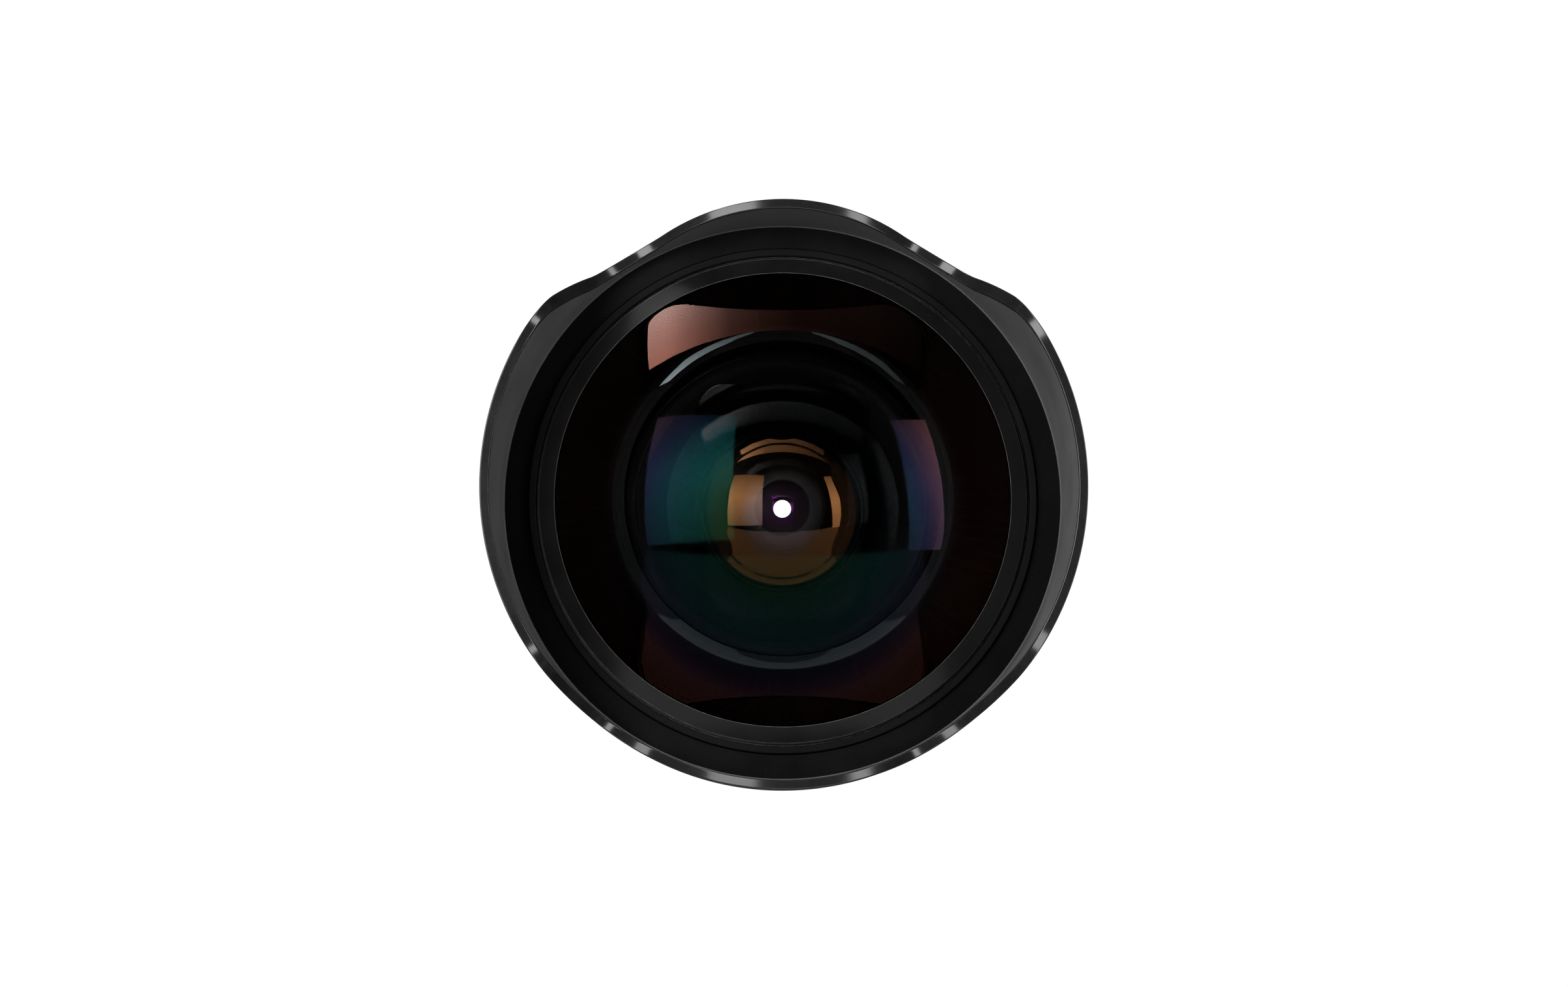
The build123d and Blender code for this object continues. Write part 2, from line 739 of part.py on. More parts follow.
# Lens barrel: helicoid tube with a key groove, a web round the inner cell and a front flange
block_bottom = sleeve_top - guide_length
web_plate_top = web_bottom + web_plate
with BuildPart() as lens_barrel:
    with BuildSketch(Plane.XZ):
        Polygon(
            (block_inner_radius, block_bottom),
            (helicoid_radius, block_bottom),
            (helicoid_radius, hood_bottom - block_flange),
            (block_flange_radius, hood_bottom - block_flange),
            (block_flange_radius, hood_bottom),
            (block_inner_radius, hood_bottom),
            (block_inner_radius, web_plate_top),
            (inner_cell_radius + seat_gap, web_plate_top),
            (inner_cell_radius + seat_gap, web_bottom),
            (block_inner_radius, web_bottom),
        )
    revolve(axis=Axis.Z)
    with BuildSketch(Plane.XY.offset(block_bottom)):
        with PolarLocations(helicoid_radius, 1, key_angle):
            Rectangle(2 * (key_depth + sliding_clearance), key_width + 2 * running_clearance)
    extrude(amount=step_top + key_height + ring_gap - block_bottom, mode=Mode.SUBTRACT)
lens_barrel.part.label = "lens_barrel"
export_step(lens_barrel.part, "parts/lens_barrel.step")

# Front barrel: skirt into the focus ring, visible lip, upright inside the hood
with BuildPart() as front_barrel:
    with BuildSketch(Plane.XZ):
        Polygon(
            (skirt_radius - skirt_wall, front_bottom - skirt_depth),
            (skirt_radius, front_bottom - skirt_depth),
            (skirt_radius, front_bottom),
            (front_lip_radius - front_lip_chamfer, front_bottom),
            (front_lip_radius, front_bottom + front_lip_chamfer),
            (front_lip_radius, hood_bottom),
            (upright_radius, hood_bottom),
            (upright_radius, upright_top),
            (upright_radius - upright_wall, upright_top),
            (upright_radius - upright_wall, hood_bottom),
            (skirt_radius - skirt_wall, hood_bottom),
        )
    revolve(axis=Axis.Z)
front_barrel.part.label = "front_barrel"
export_step(front_barrel.part, "parts/front_barrel.step")

# Petal hood: flared wall, matt cone round the glass, inner skirt on the front cell
hood_skirt_radius = hood_bore + hood_skirt_wall
cone_slope = hood_floor_rise / (hood_floor_radius - hood_bore)
cone_under_skirt = hood_floor_top - hood_cone_wall - cone_slope * hood_skirt_wall
cone_under_wall = hood_floor - hood_cone_wall
hood_foot = hood_bottom + joint_gap
with BuildPart() as petal_hood:
    with BuildSketch(Plane.XZ):
        Polygon(
            (hood_bottom_radius, hood_foot),
            (hood_tip_radius, hood_tip),
            (hood_tip_radius - hood_wall, hood_tip),
            (hood_floor_radius, hood_floor),
            (hood_bore, hood_floor_top),
            (hood_bore, hood_bottom + hood_skirt_clearance),
            (hood_skirt_radius, hood_bottom + hood_skirt_clearance),
            (hood_skirt_radius, cone_under_skirt),
            (hood_socket_radius, cone_under_wall),
            (hood_socket_radius, hood_foot),
        )
    revolve(axis=Axis.Z)
    flank_run = petal_flank_depth / tan(radians(petal_flank_angle))
    flank_top = hood_tip_radius - petal_flank_inset + flank_run
    hump_centre = hood_tip - petal_hump_depth - petal_hump_radius
    foot_half_width = flank_top - (hood_tip - hump_centre) / tan(radians(petal_flank_angle))
    with BuildSketch(Plane.XZ) as petal_cut:
        Polygon(
            (-foot_half_width, hump_centre),
            (foot_half_width, hump_centre),
            (flank_top, hood_tip),
            (hood_tip_radius + overrun, hood_tip),
            (hood_tip_radius + overrun, hood_tip + overrun),
            (-hood_tip_radius - overrun, hood_tip + overrun),
            (-hood_tip_radius - overrun, hood_tip),
            (-flank_top, hood_tip),
        )
        with Locations((0, hump_centre)):
            Circle(petal_hump_radius, mode=Mode.SUBTRACT)
        dips = petal_cut.vertices().group_by(Axis.Y)[0]
        fillet(dips, petal_dip_radius)
        tip_level = petal_cut.vertices().group_by(Axis.Y)[-2]
        corners = sorted(tip_level, key=lambda vertex: abs(vertex.X))[:2]
        fillet(corners, petal_corner_radius)
    extrude(amount=hood_tip_radius + overrun, both=True, mode=Mode.SUBTRACT)
petal_hood.part.label = "petal_hood"
export_step(petal_hood.part, "parts/petal_hood.step")

# Front cell: shelf under the front element, bore for it, thin rim between the two grooves
cell_top = surface(front_vertex, front_outer_curve, glass_view_radius) - retaining_ring_drop
cell_bore = front_element_radius + glass_clearance
cell_rim_inner_radius = cell_radius - cell_rim_wall
cell_seat_top = front_edge_bottom + cell_seat_height
second_hole = second_cell_radius + glass_clearance
with BuildPart() as front_cell:
    with BuildSketch(Plane.XZ):
        Polygon(
            (second_hole, front_edge_bottom - cell_shelf),
            (second_hole, front_edge_bottom),
            (cell_bore, front_edge_bottom),
            (cell_bore, cell_seat_top),
            (cell_rim_inner_radius, cell_seat_top),
            (cell_rim_inner_radius, cell_top),
            (cell_radius, cell_top),
            (cell_radius, hood_bottom),
            (cell_radius - cell_wall, hood_bottom),
            (cell_radius - cell_wall, front_edge_bottom - cell_shelf),
        )
    revolve(axis=Axis.Z)
front_cell.part.label = "front_cell"
export_step(front_cell.part, "parts/front_cell.step")

# Front element, the strongly domed meniscus
with BuildPart() as front_element:
    revolve(
        glass(
            front_vertex,
            front_outer_curve,
            front_rear_vertex,
            front_inner_curve,
            front_element_radius,
            front_inner_radius,
        ),
        axis=Axis.Z,
    )
front_element.part.label = "front_element"
export_step(front_element.part, "parts/front_element.step")

# Ring that holds the front element down, sloping away from the glass
glass_line = surface(front_vertex, front_outer_curve, glass_view_radius)
ring_foot_radius = cell_rim_inner_radius - glass_clearance
ring_ledge = cell_top - retaining_ring_lip
with BuildPart() as glass_retaining_ring:
    with BuildSketch(Plane.XZ):
        Polygon(
            (glass_view_radius, glass_line + glass_clearance),
            (glass_view_radius, glass_line + retaining_ring_edge),
            (retaining_ring_radius, cell_top),
            (retaining_ring_radius, ring_ledge),
            (ring_foot_radius, ring_ledge),
            (ring_foot_radius, cell_seat_top),
            (cell_bore, cell_seat_top),
            (cell_bore, front_edge_top + glass_clearance),
        )
    revolve(axis=Axis.Z)
glass_retaining_ring.part.label = "glass_retaining_ring"
export_step(glass_retaining_ring.part, "parts/glass_retaining_ring.step")

# Second element, its cell and its retaining ring
second_ring_inner_radius = second_element_radius - second_ring_overlap
second_ring_radius = second_ring_inner_radius + second_ring_wall
second_ring_bottom = surface(second_vertex, second_outer_curve, second_ring_inner_radius) + seat_gap
second_ring_top = second_ring_bottom + second_ring_height
inner_hole = inner_cell_radius + seat_gap
with BuildPart() as second_cell:
    with BuildSketch(Plane.XZ):
        Polygon(
            (second_cell_foot_radius, web_plate_top),
            (second_cell_radius, web_plate_top),
            (second_cell_radius, second_ring_top),
            (second_ring_radius + seat_gap, second_ring_top),
            (second_ring_radius + seat_gap, second_ring_bottom),
            (second_element_radius + seat_gap, second_ring_bottom),
            (second_element_radius + seat_gap, second_edge_bottom),
            (inner_hole, second_edge_bottom),
            (inner_hole, second_edge_bottom - second_shelf),
            (second_cell_foot_radius, second_edge_bottom - second_shelf),
        )
    revolve(axis=Axis.Z)
second_cell.part.label = "second_cell"
export_step(second_cell.part, "parts/second_cell.step")

with BuildPart() as second_element:
    revolve(
        glass(
            second_vertex,
            second_outer_curve,
            second_rear_vertex,
            second_inner_curve,
            second_element_radius,
            second_inner_radius,
        ),
        axis=Axis.Z,
    )
second_element.part.label = "second_element"
export_step(second_element.part, "parts/second_element.step")

with BuildPart() as second_retaining_ring:
    with BuildSketch(Plane.XZ):
        Polygon(
            (second_ring_inner_radius, second_ring_bottom),
            (second_ring_radius, second_ring_bottom),
            (second_ring_radius, second_ring_top),
            (second_ring_inner_radius + second_ring_overlap, second_ring_top),
        )
    revolve(axis=Axis.Z)
second_retaining_ring.part.label = "second_retaining_ring"
export_step(second_retaining_ring.part, "parts/second_retaining_ring.step")

# Inner cell for the third and fourth elements, with a flange on the web of the lens barrel
spacer_bottom = surface(fourth_vertex, fourth_outer_curve, spacer_skirt_radius) + seat_gap
inner_cell_top = third_edge_top + inner_cell_rim
with BuildPart() as inner_cell:
    with BuildSketch(Plane.XZ):
        Polygon(
            (fourth_seat_radius, iris_base_top),
            (inner_cell_radius, iris_base_top),
            (inner_cell_radius, web_plate_top),
            (inner_cell_flange_radius, web_plate_top),
            (inner_cell_flange_radius, web_plate_top + inner_cell_flange_height),
            (inner_cell_radius, web_plate_top + inner_cell_flange_height),
            (inner_cell_radius, inner_cell_top),
            (third_element_radius + seat_gap, inner_cell_top),
            (third_element_radius + seat_gap, spacer_bottom),
            (fourth_element_radius + seat_gap, spacer_bottom),
            (fourth_element_radius + seat_gap, fourth_edge_bottom - seat_gap),
            (fourth_seat_radius, fourth_edge_bottom - seat_gap),
        )
    revolve(axis=Axis.Z)
inner_cell.part.label = "inner_cell"
export_step(inner_cell.part, "parts/inner_cell.step")

with BuildPart() as third_element:
    revolve(
        glass(
            third_vertex,
            third_outer_curve,
            third_rear_vertex,
            third_inner_curve,
            third_element_radius,
            third_inner_radius,
        ),
        axis=Axis.Z,
    )
third_element.part.label = "third_element"
export_step(third_element.part, "parts/third_element.step")

with BuildPart() as third_retaining_ring:
    with BuildSketch(Plane.XY.offset(third_ring_bottom)):
        Circle(third_element_radius)
        Circle(third_ring_inner_radius, mode=Mode.SUBTRACT)
    extrude(amount=third_ring_height)
third_retaining_ring.part.label = "third_retaining_ring"
export_step(third_retaining_ring.part, "parts/third_retaining_ring.step")

# Spacer between the third and fourth elements
spacer_top = third_edge_bottom - seat_gap
lip_bottom = fourth_vertex + sliding_clearance
lip_top = lip_bottom + spacer_lip_thickness
with BuildPart() as stop_spacer:
    with BuildSketch(Plane.XZ):
        Polygon(
            (spacer_skirt_radius, spacer_bottom),
            (third_element_radius, spacer_bottom),
            (third_element_radius, spacer_top),
            (third_element_radius - spacer_seat_width, spacer_top),
            (third_element_radius - spacer_seat_width, lip_top),
            (spacer_lip_radius, lip_top),
            (spacer_lip_radius, lip_bottom),
            (spacer_skirt_radius, lip_bottom),
        )
    revolve(axis=Axis.Z)
stop_spacer.part.label = "stop_spacer"
export_step(stop_spacer.part, "parts/stop_spacer.step")

with BuildPart() as fourth_element:
    revolve(
        glass(
            fourth_vertex,
            fourth_outer_curve,
            fourth_rear_vertex,
            fourth_inner_curve,
            fourth_element_radius,
            fourth_inner_radius,
        ),
        axis=Axis.Z,
    )
fourth_element.part.label = "fourth_element"
export_step(fourth_element.part, "parts/fourth_element.step")

# Iris base plate, with the fixed opening and the pivot holes of the blades
with BuildPart() as iris_base_plate:
    with BuildSketch(Plane.XY.offset(iris_base_bottom)):
        Circle(iris_radius)
        Circle(opening_radius, mode=Mode.SUBTRACT)
        with PolarLocations(pivot_circle_radius, blade_count):
            Circle(pivot_pin_radius + running_clearance, mode=Mode.SUBTRACT)
    extrude(amount=iris_base_thickness)
iris_base_plate.part.label = "iris_base_plate"
export_step(iris_base_plate.part, "parts/iris_base_plate.step")

# Iris housing, open on the side where the lug of the cam ring comes out
lug_half_angle = degrees(asin(fork_width / 2 / iris_radius))
with BuildPart() as iris_housing:
    with BuildSketch(Plane.XZ.rotated((0, 0, bar_angle + aperture_throw + lug_half_angle))):
        Polygon(
            (iris_radius - iris_wall, rear_cell_height),
            (iris_radius, rear_cell_height),
            (iris_radius, iris_base_bottom),
            (iris_radius - iris_wall, iris_base_bottom),
        )
    revolve(axis=Axis.Z, revolution_arc=360 - aperture_throw - 2 * lug_half_angle)
iris_housing.part.label = "iris_housing"
export_step(iris_housing.part, "parts/iris_housing.step")

# Cam ring: each slot follows the drive pin of one blade as the ring and the blade turn together
blade_swing = 2 * degrees(asin((blade_inner_radius - blade_closed_radius) / 2 / pivot_circle_radius))
swing_share = blade_swing / aperture_throw
cam_ring_radius = iris_radius - iris_wall - running_clearance


def drive_pin_in_ring(ring_angle):
    """Place of the first blade's drive pin, seen from the cam ring, once that has turned."""
    pivot = Vector(pivot_circle_radius, 0)
    pin = Vector(pivot_circle_radius, 0).rotate(Axis.Z, drive_pin_angle)
    swung = pivot + (pin - pivot).rotate(Axis.Z, swing_share * ring_angle)
    return swung.rotate(Axis.Z, -ring_angle)


with BuildPart() as iris_cam_ring:
    with BuildSketch(Plane.XY.offset(cam_ring_bottom)):
        Circle(cam_ring_radius)
        with PolarLocations((cam_ring_radius + bar_inner_radius) / 2, 1, bar_angle):
            Rectangle(bar_inner_radius - cam_ring_radius + 2 * overrun, lug_width)
        with PolarLocations(bar_outer_radius - fork_depth / 2, 1, bar_angle):
            Rectangle(fork_depth, fork_width)
        with PolarLocations(bar_inner_radius + bar_depth, 1, bar_angle):
            Rectangle(2 * (bar_depth + ring_gap), bar_width + 2 * running_clearance, mode=Mode.SUBTRACT)
        Circle(cam_ring_inner_radius, mode=Mode.SUBTRACT)
        for blade in range(blade_count):
            turn = blade * 360 / blade_count
            stops = [drive_pin_in_ring(aperture_throw * share) for share in (0, 1 / 2, 1)]
            path = ThreePointArc(*[stop.rotate(Axis.Z, turn) for stop in stops], mode=Mode.PRIVATE)
            SlotArc(path, 2 * (pivot_pin_radius + running_clearance), mode=Mode.SUBTRACT)
    extrude(amount=cam_ring_thickness)
iris_cam_ring.part.label = "iris_cam_ring"
export_step(iris_cam_ring.part, "parts/iris_cam_ring.step")

# Iris blades: crescents in stacked layers, each with a pivot pin in front and a drive pin behind
blade_middle_radius = (blade_inner_radius + blade_outer_radius) / 2
blade_width = blade_outer_radius - blade_inner_radius
pin_engagement = cam_ring_thickness - sliding_clearance
for blade in range(blade_count):
    turn = blade * 360 / blade_count
    blade_top = iris_base_bottom - blade_gap - blade * blade_pitch
    blade_bottom = blade_top - blade_thickness
    with BuildPart() as iris_blade:
        with BuildSketch(Plane.XY.offset(blade_bottom)):
            heel = turn - blade_heel_span
            band = CenterArc((0, 0), blade_middle_radius, heel, blade_span + blade_heel_span, mode=Mode.PRIVATE)
            SlotArc(band, blade_width)
            tab = CenterArc((0, 0), pivot_circle_radius, turn, drive_pin_angle, mode=Mode.PRIVATE)
            SlotArc(tab, blade_tab_width)
        extrude(amount=blade_thickness)
        with BuildSketch(Plane.XY.offset(blade_bottom)):
            with PolarLocations(pivot_circle_radius, 1, turn):
                Circle(pivot_pin_radius)
        extrude(amount=iris_base_top - sliding_clearance - blade_bottom)
        with BuildSketch(Plane.XY.offset(cam_ring_top - pin_engagement)):
            with PolarLocations(pivot_circle_radius, 1, turn + drive_pin_angle):
                Circle(pivot_pin_radius)
        extrude(amount=blade_top - cam_ring_top + pin_engagement)
    iris_blade.part.label = f"iris_blade_{blade + 1}"
    export_step(iris_blade.part, f"parts/{iris_blade.part.label}.step")

# Rear cell: stop at the iris, seats for both cemented pairs, open mouth at the rear
pair_a_bore = pair_a_radius + seat_gap
pair_b_bore = pair_b_radius + seat_gap
pair_a_seat_height = surface(pair_a_vertex, pair_a_front_curve, pair_a_stop_radius) + seat_gap
bore_step = pair_a_rear - pair_spacer_wall
rear_cell_bottom = rear_cell_height - rear_cell_depth
with BuildPart() as rear_cell:
    with BuildSketch(Plane.XZ):
        Polygon(
            (rear_cell_stop_radius, rear_cell_height),
            (rear_cell_radius, rear_cell_height),
            (rear_cell_radius, rear_cell_bottom),
            (rear_mouth_radius, rear_cell_bottom),
            (pair_b_bore, rear_cell_bottom + rear_mouth_depth),
            (pair_b_bore, bore_step),
            (pair_a_bore, bore_step),
            (pair_a_bore, pair_a_seat_height),
            (pair_a_stop_radius, pair_a_seat_height),
            (pair_a_stop_radius, rear_cell_height - rear_cell_top),
            (rear_cell_stop_radius, rear_cell_height - rear_cell_top),
        )
    revolve(axis=Axis.Z)
rear_cell.part.label = "rear_cell"
export_step(rear_cell.part, "parts/rear_cell.step")

# Cemented pairs, each of two glasses with one common surface
with BuildPart() as pair_a_front:
    revolve(
        glass(
            pair_a_vertex,
            pair_a_front_curve,
            pair_a_joint,
            pair_a_joint_curve,
            pair_a_radius,
            pair_a_radius,
        ),
        axis=Axis.Z,
    )
pair_a_front.part.label = "pair_a_front"
export_step(pair_a_front.part, "parts/pair_a_front.step")

with BuildPart() as pair_a_back:
    revolve(
        glass(
            pair_a_joint,
            pair_a_joint_curve,
            pair_a_rear,
            pair_a_rear_curve,
            pair_a_radius,
            pair_a_radius,
        ),
        axis=Axis.Z,
    )
pair_a_back.part.label = "pair_a_back"
export_step(pair_a_back.part, "parts/pair_a_back.step")

with BuildPart() as pair_b_front:
    revolve(
        glass(
            pair_b_vertex,
            pair_b_front_curve,
            pair_b_joint,
            pair_b_joint_curve,
            pair_b_radius,
            pair_b_radius,
        ),
        axis=Axis.Z,
    )
pair_b_front.part.label = "pair_b_front"
export_step(pair_b_front.part, "parts/pair_b_front.step")

with BuildPart() as pair_b_back:
    revolve(
        glass(
            pair_b_joint,
            pair_b_joint_curve,
            pair_b_rear,
            pair_b_rear_curve,
            pair_b_radius,
            pair_b_radius,
        ),
        axis=Axis.Z,
    )
pair_b_back.part.label = "pair_b_back"
export_step(pair_b_back.part, "parts/pair_b_back.step")

# Spacer between the pairs
spacer_inner_a = pair_a_radius - pair_spacer_wall
spacer_inner_b = pair_b_radius - pair_spacer_wall
with BuildPart() as pair_spacer:
    with BuildSketch(Plane.XZ):
        Polygon(
            (spacer_inner_a, surface(pair_a_rear, pair_a_rear_curve, spacer_inner_a) - seat_gap),
            (pair_a_radius, surface(pair_a_rear, pair_a_rear_curve, spacer_inner_a) - seat_gap),
            (pair_a_radius, bore_step),
            (pair_b_radius, bore_step),
            (pair_b_radius, surface(pair_b_vertex, pair_b_front_curve, spacer_inner_b) + seat_gap),
            (spacer_inner_b, surface(pair_b_vertex, pair_b_front_curve, spacer_inner_b) + seat_gap),
            (spacer_inner_b, bore_step - pair_spacer_plate),
            (spacer_inner_a, bore_step - pair_spacer_plate),
        )
    revolve(axis=Axis.Z)
pair_spacer.part.label = "pair_spacer"
export_step(pair_spacer.part, "parts/pair_spacer.step")

# Ring that holds the rear pair
rear_ring_inner_radius = pair_b_radius - rear_ring_wall
rear_ring_top = surface(pair_b_rear, pair_b_rear_curve, rear_ring_inner_radius) - seat_gap
with BuildPart() as rear_retaining_ring:
    with BuildSketch(Plane.XY.offset(rear_ring_top - rear_ring_height)):
        Circle(pair_b_radius)
        Circle(rear_ring_inner_radius, mode=Mode.SUBTRACT)
    extrude(amount=rear_ring_height)
rear_retaining_ring.part.label = "rear_retaining_ring"
export_step(rear_retaining_ring.part, "parts/rear_retaining_ring.step")
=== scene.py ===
import json
import math

import bmesh
import bpy
from mathutils import Matrix, Vector

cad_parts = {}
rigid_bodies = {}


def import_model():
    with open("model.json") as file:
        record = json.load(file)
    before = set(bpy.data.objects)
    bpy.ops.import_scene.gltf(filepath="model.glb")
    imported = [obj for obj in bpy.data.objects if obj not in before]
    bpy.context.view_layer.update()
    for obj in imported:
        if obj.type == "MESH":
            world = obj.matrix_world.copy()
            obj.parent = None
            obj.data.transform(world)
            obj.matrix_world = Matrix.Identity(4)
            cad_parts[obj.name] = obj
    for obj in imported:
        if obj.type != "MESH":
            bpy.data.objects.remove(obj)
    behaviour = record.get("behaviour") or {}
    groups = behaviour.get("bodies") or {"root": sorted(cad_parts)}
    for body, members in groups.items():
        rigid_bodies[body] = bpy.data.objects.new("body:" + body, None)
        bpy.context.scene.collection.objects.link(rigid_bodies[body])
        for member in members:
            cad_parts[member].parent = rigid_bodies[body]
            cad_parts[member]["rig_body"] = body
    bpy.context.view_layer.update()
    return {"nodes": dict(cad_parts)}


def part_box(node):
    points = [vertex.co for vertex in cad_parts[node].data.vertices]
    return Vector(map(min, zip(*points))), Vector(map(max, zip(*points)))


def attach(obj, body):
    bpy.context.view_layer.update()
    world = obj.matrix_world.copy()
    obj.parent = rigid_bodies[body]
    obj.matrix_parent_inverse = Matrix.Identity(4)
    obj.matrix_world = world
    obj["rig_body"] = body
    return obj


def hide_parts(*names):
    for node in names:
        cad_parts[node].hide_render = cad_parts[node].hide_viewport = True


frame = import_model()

# A fisheye lens that stands on its rear rim. The optical axis is Z, towards the subject, and the
# long hood petals lie along X. Sizes are in millimetres times MM, and places come from the frame.
MM = 0.001
weld = 0.002 * MM

# Fineness of the meshes
turned_segments = 288
hood_steps = 1440
glass_segments = 192
glass_rows = 40
corner_steps = 3
bevel_steps = 9
bevel_bulge = 0.045 * MM

# Sizes of the patterns that finishes share
scuff_size = 0.8 * MM
smear_size = 9 * MM

# Rounding of machined corners
fine_corner = 0.08 * MM
soft_corner = 0.2 * MM

# Petal hood: the outline that is cut through the flared wall, and its rim
hood_outer_flare = 0.03
hood_inner_flare = 0.036
hood_wall = 1.15 * MM
hood_floor_depth = 18.2 * MM
hood_floor_rise = 1.1 * MM
flank_inset = 11.2 * MM
flank_depth = 7.55 * MM
flank_angle = math.radians(65.1)
hump_depth = 8.05 * MM
hump_radius = 23.5 * MM
dip_radius = 6.0 * MM
petal_corner_radius = 5.0 * MM
rim_rounding = 0.16 * MM
rim_line_start = 0.34 * MM
rim_line_width = 0.2 * MM
rim_line_depth = 0.09 * MM
cone_run = 4 * MM

# Search in the hood's outline for its hollow foot
under_floor = 0.2 * MM
same_radius = 5 * weld
trough_clear = 1 * MM

# Front glass: polished bevel inside its rear rim
glass_bevel_width = 1.44 * MM
glass_bevel_height = 0.92 * MM

# Focus grip: end bands, and ribs that rise between them
grip_rib_count = 72
grip_rib_points = 16
grip_rib_rise = 0.65 * MM
grip_rib_share = 0.62
grip_rib_ease_share = 0.09
grip_band = 1.2 * MM
grip_band_ease = 0.35 * MM
grip_corner = 0.15 * MM
grip_corner_cut = 0.04 * MM

# Aperture ring: raised band of grooves, and chamfered ends
aperture_groove_count = 60
aperture_groove_points = 18
aperture_groove_depth = 0.55 * MM
aperture_groove_share = 0.44
aperture_groove_ease_share = 0.09
aperture_grip_rise = 0.7 * MM
aperture_grip_start = 4.6 * MM
aperture_grip_end = 11.4 * MM
aperture_chamfer = 0.8 * MM
aperture_ease = 0.18 * MM
between_grooves = math.radians(9)


# Numbers and lines: how far they stand out of and reach into the wall, their sizes and places
inlay_out = 0.03 * MM
inlay_in = 0.1 * MM
line_end_steps = 6
stop_number_size = 2.4 * MM
stop_number_rise = 2.75 * MM
stop_step = math.radians(8)
distance_number_size = 2.5 * MM
distance_number_rise = 3.1 * MM
depth_line_drop = 1.5 * MM
depth_line_width = 0.2 * MM
depth_line_length = 1.3 * MM
depth_number_size = 1.5 * MM
depth_number_drop = 3.0 * MM
index_line_width = 0.32 * MM
focus_line_length = 1.6 * MM
stop_line_length = 1.8 * MM
stop_line_rise = 1.7 * MM
mount_dot_size = 1.1 * MM
mount_dot_straight = 0.02 * MM
mount_dot_drop = 1.4 * MM
mount_dot_angle = math.radians(45)


def node(name):
    """CAD node of that name."""
    return frame["nodes"][name]


def body(name):
    """Name of the body a CAD node rides on."""
    return node(name)["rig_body"]


def low(name):
    """Lowest height of a CAD node."""
    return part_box(name)[0].z


def high(name):
    """Highest height of a CAD node."""
    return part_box(name)[1].z


def reach(name):
    """Largest radius of a CAD node that is turned about the axis."""
    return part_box(name)[1].x


# Outlines of turned CAD nodes


def section(name, turn=0.0):
    """Outline of a turned node in the half plane at an angle, as (radius, height) points."""
    cut = bmesh.new()
    cut.from_mesh(node(name).data)
    bmesh.ops.remove_doubles(cut, verts=cut.verts, dist=weld)
    outward = Vector((math.cos(turn), math.sin(turn), 0))
    sideways = Vector((-math.sin(turn), math.cos(turn), 0))
    everything = cut.verts[:] + cut.edges[:] + cut.faces[:]
    found = bmesh.ops.bisect_plane(cut, geom=everything, dist=weld, plane_co=(0, 0, 0), plane_no=sideways)
    near = {}
    for item in found["geom_cut"]:
        if isinstance(item, bmesh.types.BMEdge) and all(v.co.dot(outward) > 0 for v in item.verts):
            first, second = item.verts
            near.setdefault(first, []).append(second)
            near.setdefault(second, []).append(first)
    start = max(near, key=lambda v: v.co.dot(outward))
    chain = [start]
    while True:
        ahead = [v for v in near[chain[-1]] if v not in chain[-2:]]
        if not ahead or ahead[0] == start or len(chain) > len(near):
            break
        chain.append(ahead[0])
    points = [(v.co.dot(outward), v.co.z) for v in chain]
    cut.free()
    return straightened(points)


def straightened(points):
    """Closed outline without the points that lie on a straight run."""
    kept = []
    for index, point in enumerate(points):
        before = kept[-1] if kept else points[index - 1]
        after = points[(index + 1) % len(points)]
        run = math.dist(before, after)
        area = (after[0] - before[0]) * (point[1] - before[1]) - (after[1] - before[1]) * (point[0] - before[0])
        if run == 0 or abs(area) / run > weld:
            kept.append(point)
    return kept


def rounded(points, rounding, steps=corner_steps):
    """Closed outline with rounded corners, as (radius, height, edge) with edge 1 on the rounding."""
    result = []
    for index, corner in enumerate(points):
        before = points[index - 1]
        after = points[(index + 1) % len(points)]
        to_before = math.dist(corner, before)
        to_after = math.dist(corner, after)
        reach_back = min(rounding, 0.42 * to_before)
        reach_on = min(rounding, 0.42 * to_after)
        start = [c + (b - c) * reach_back / to_before for c, b in zip(corner, before)]
        end = [c + (a - c) * reach_on / to_after for c, a in zip(corner, after)]
        for step in range(steps + 1):
            share = step / steps
            point = [
                (1 - share) ** 2 * s + 2 * share * (1 - share) * c + share**2 * e
                for s, c, e in zip(start, corner, end)
            ]
            result.append((*point, 1.0 if 0 < step < steps else 0.0))
    return result


# Meshes


def broad_normals(data):
    """Normals that follow the broadest faces round each point, so that roundings shade small and clean."""
    sums = [Vector() for _ in data.vertices]
    for face in data.polygons:
        weighted = face.normal * (face.area / MM**2) ** 2
        for index in face.vertices:
            sums[index] += weighted
    return [total.normalized() for total in sums]


def add_piece(name, points, faces, finishes, rides, replaced, kinds=None, edges=None, sharp=None):
    """Makes a mesh piece, gives it its finishes and puts it on a body in place of CAD nodes."""
    data = bpy.data.meshes.new(name)
    data.from_pydata(points, [], faces)
    for finish_used in finishes:
        data.materials.append(finish_used)
    if kinds:
        data.polygons.foreach_set("material_index", kinds)
    shape = bmesh.new()
    shape.from_mesh(data)
    bmesh.ops.recalc_face_normals(shape, faces=shape.faces)
    shape.to_mesh(data)
    shape.free()
    data.polygons.foreach_set("use_smooth", [True] * len(data.polygons))
    if edges:
        data.attributes.new("edge", "FLOAT", "POINT").data.foreach_set("value", edges)
    if sharp:
        data.set_sharp_from_angle(angle=sharp)
    else:
        data.normals_split_custom_set_from_vertices(broad_normals(data))
    piece = bpy.data.objects.new(name, data)
    bpy.context.scene.collection.objects.link(piece)
    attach(piece, rides)
    if replaced:
        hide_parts(*replaced)
    return piece


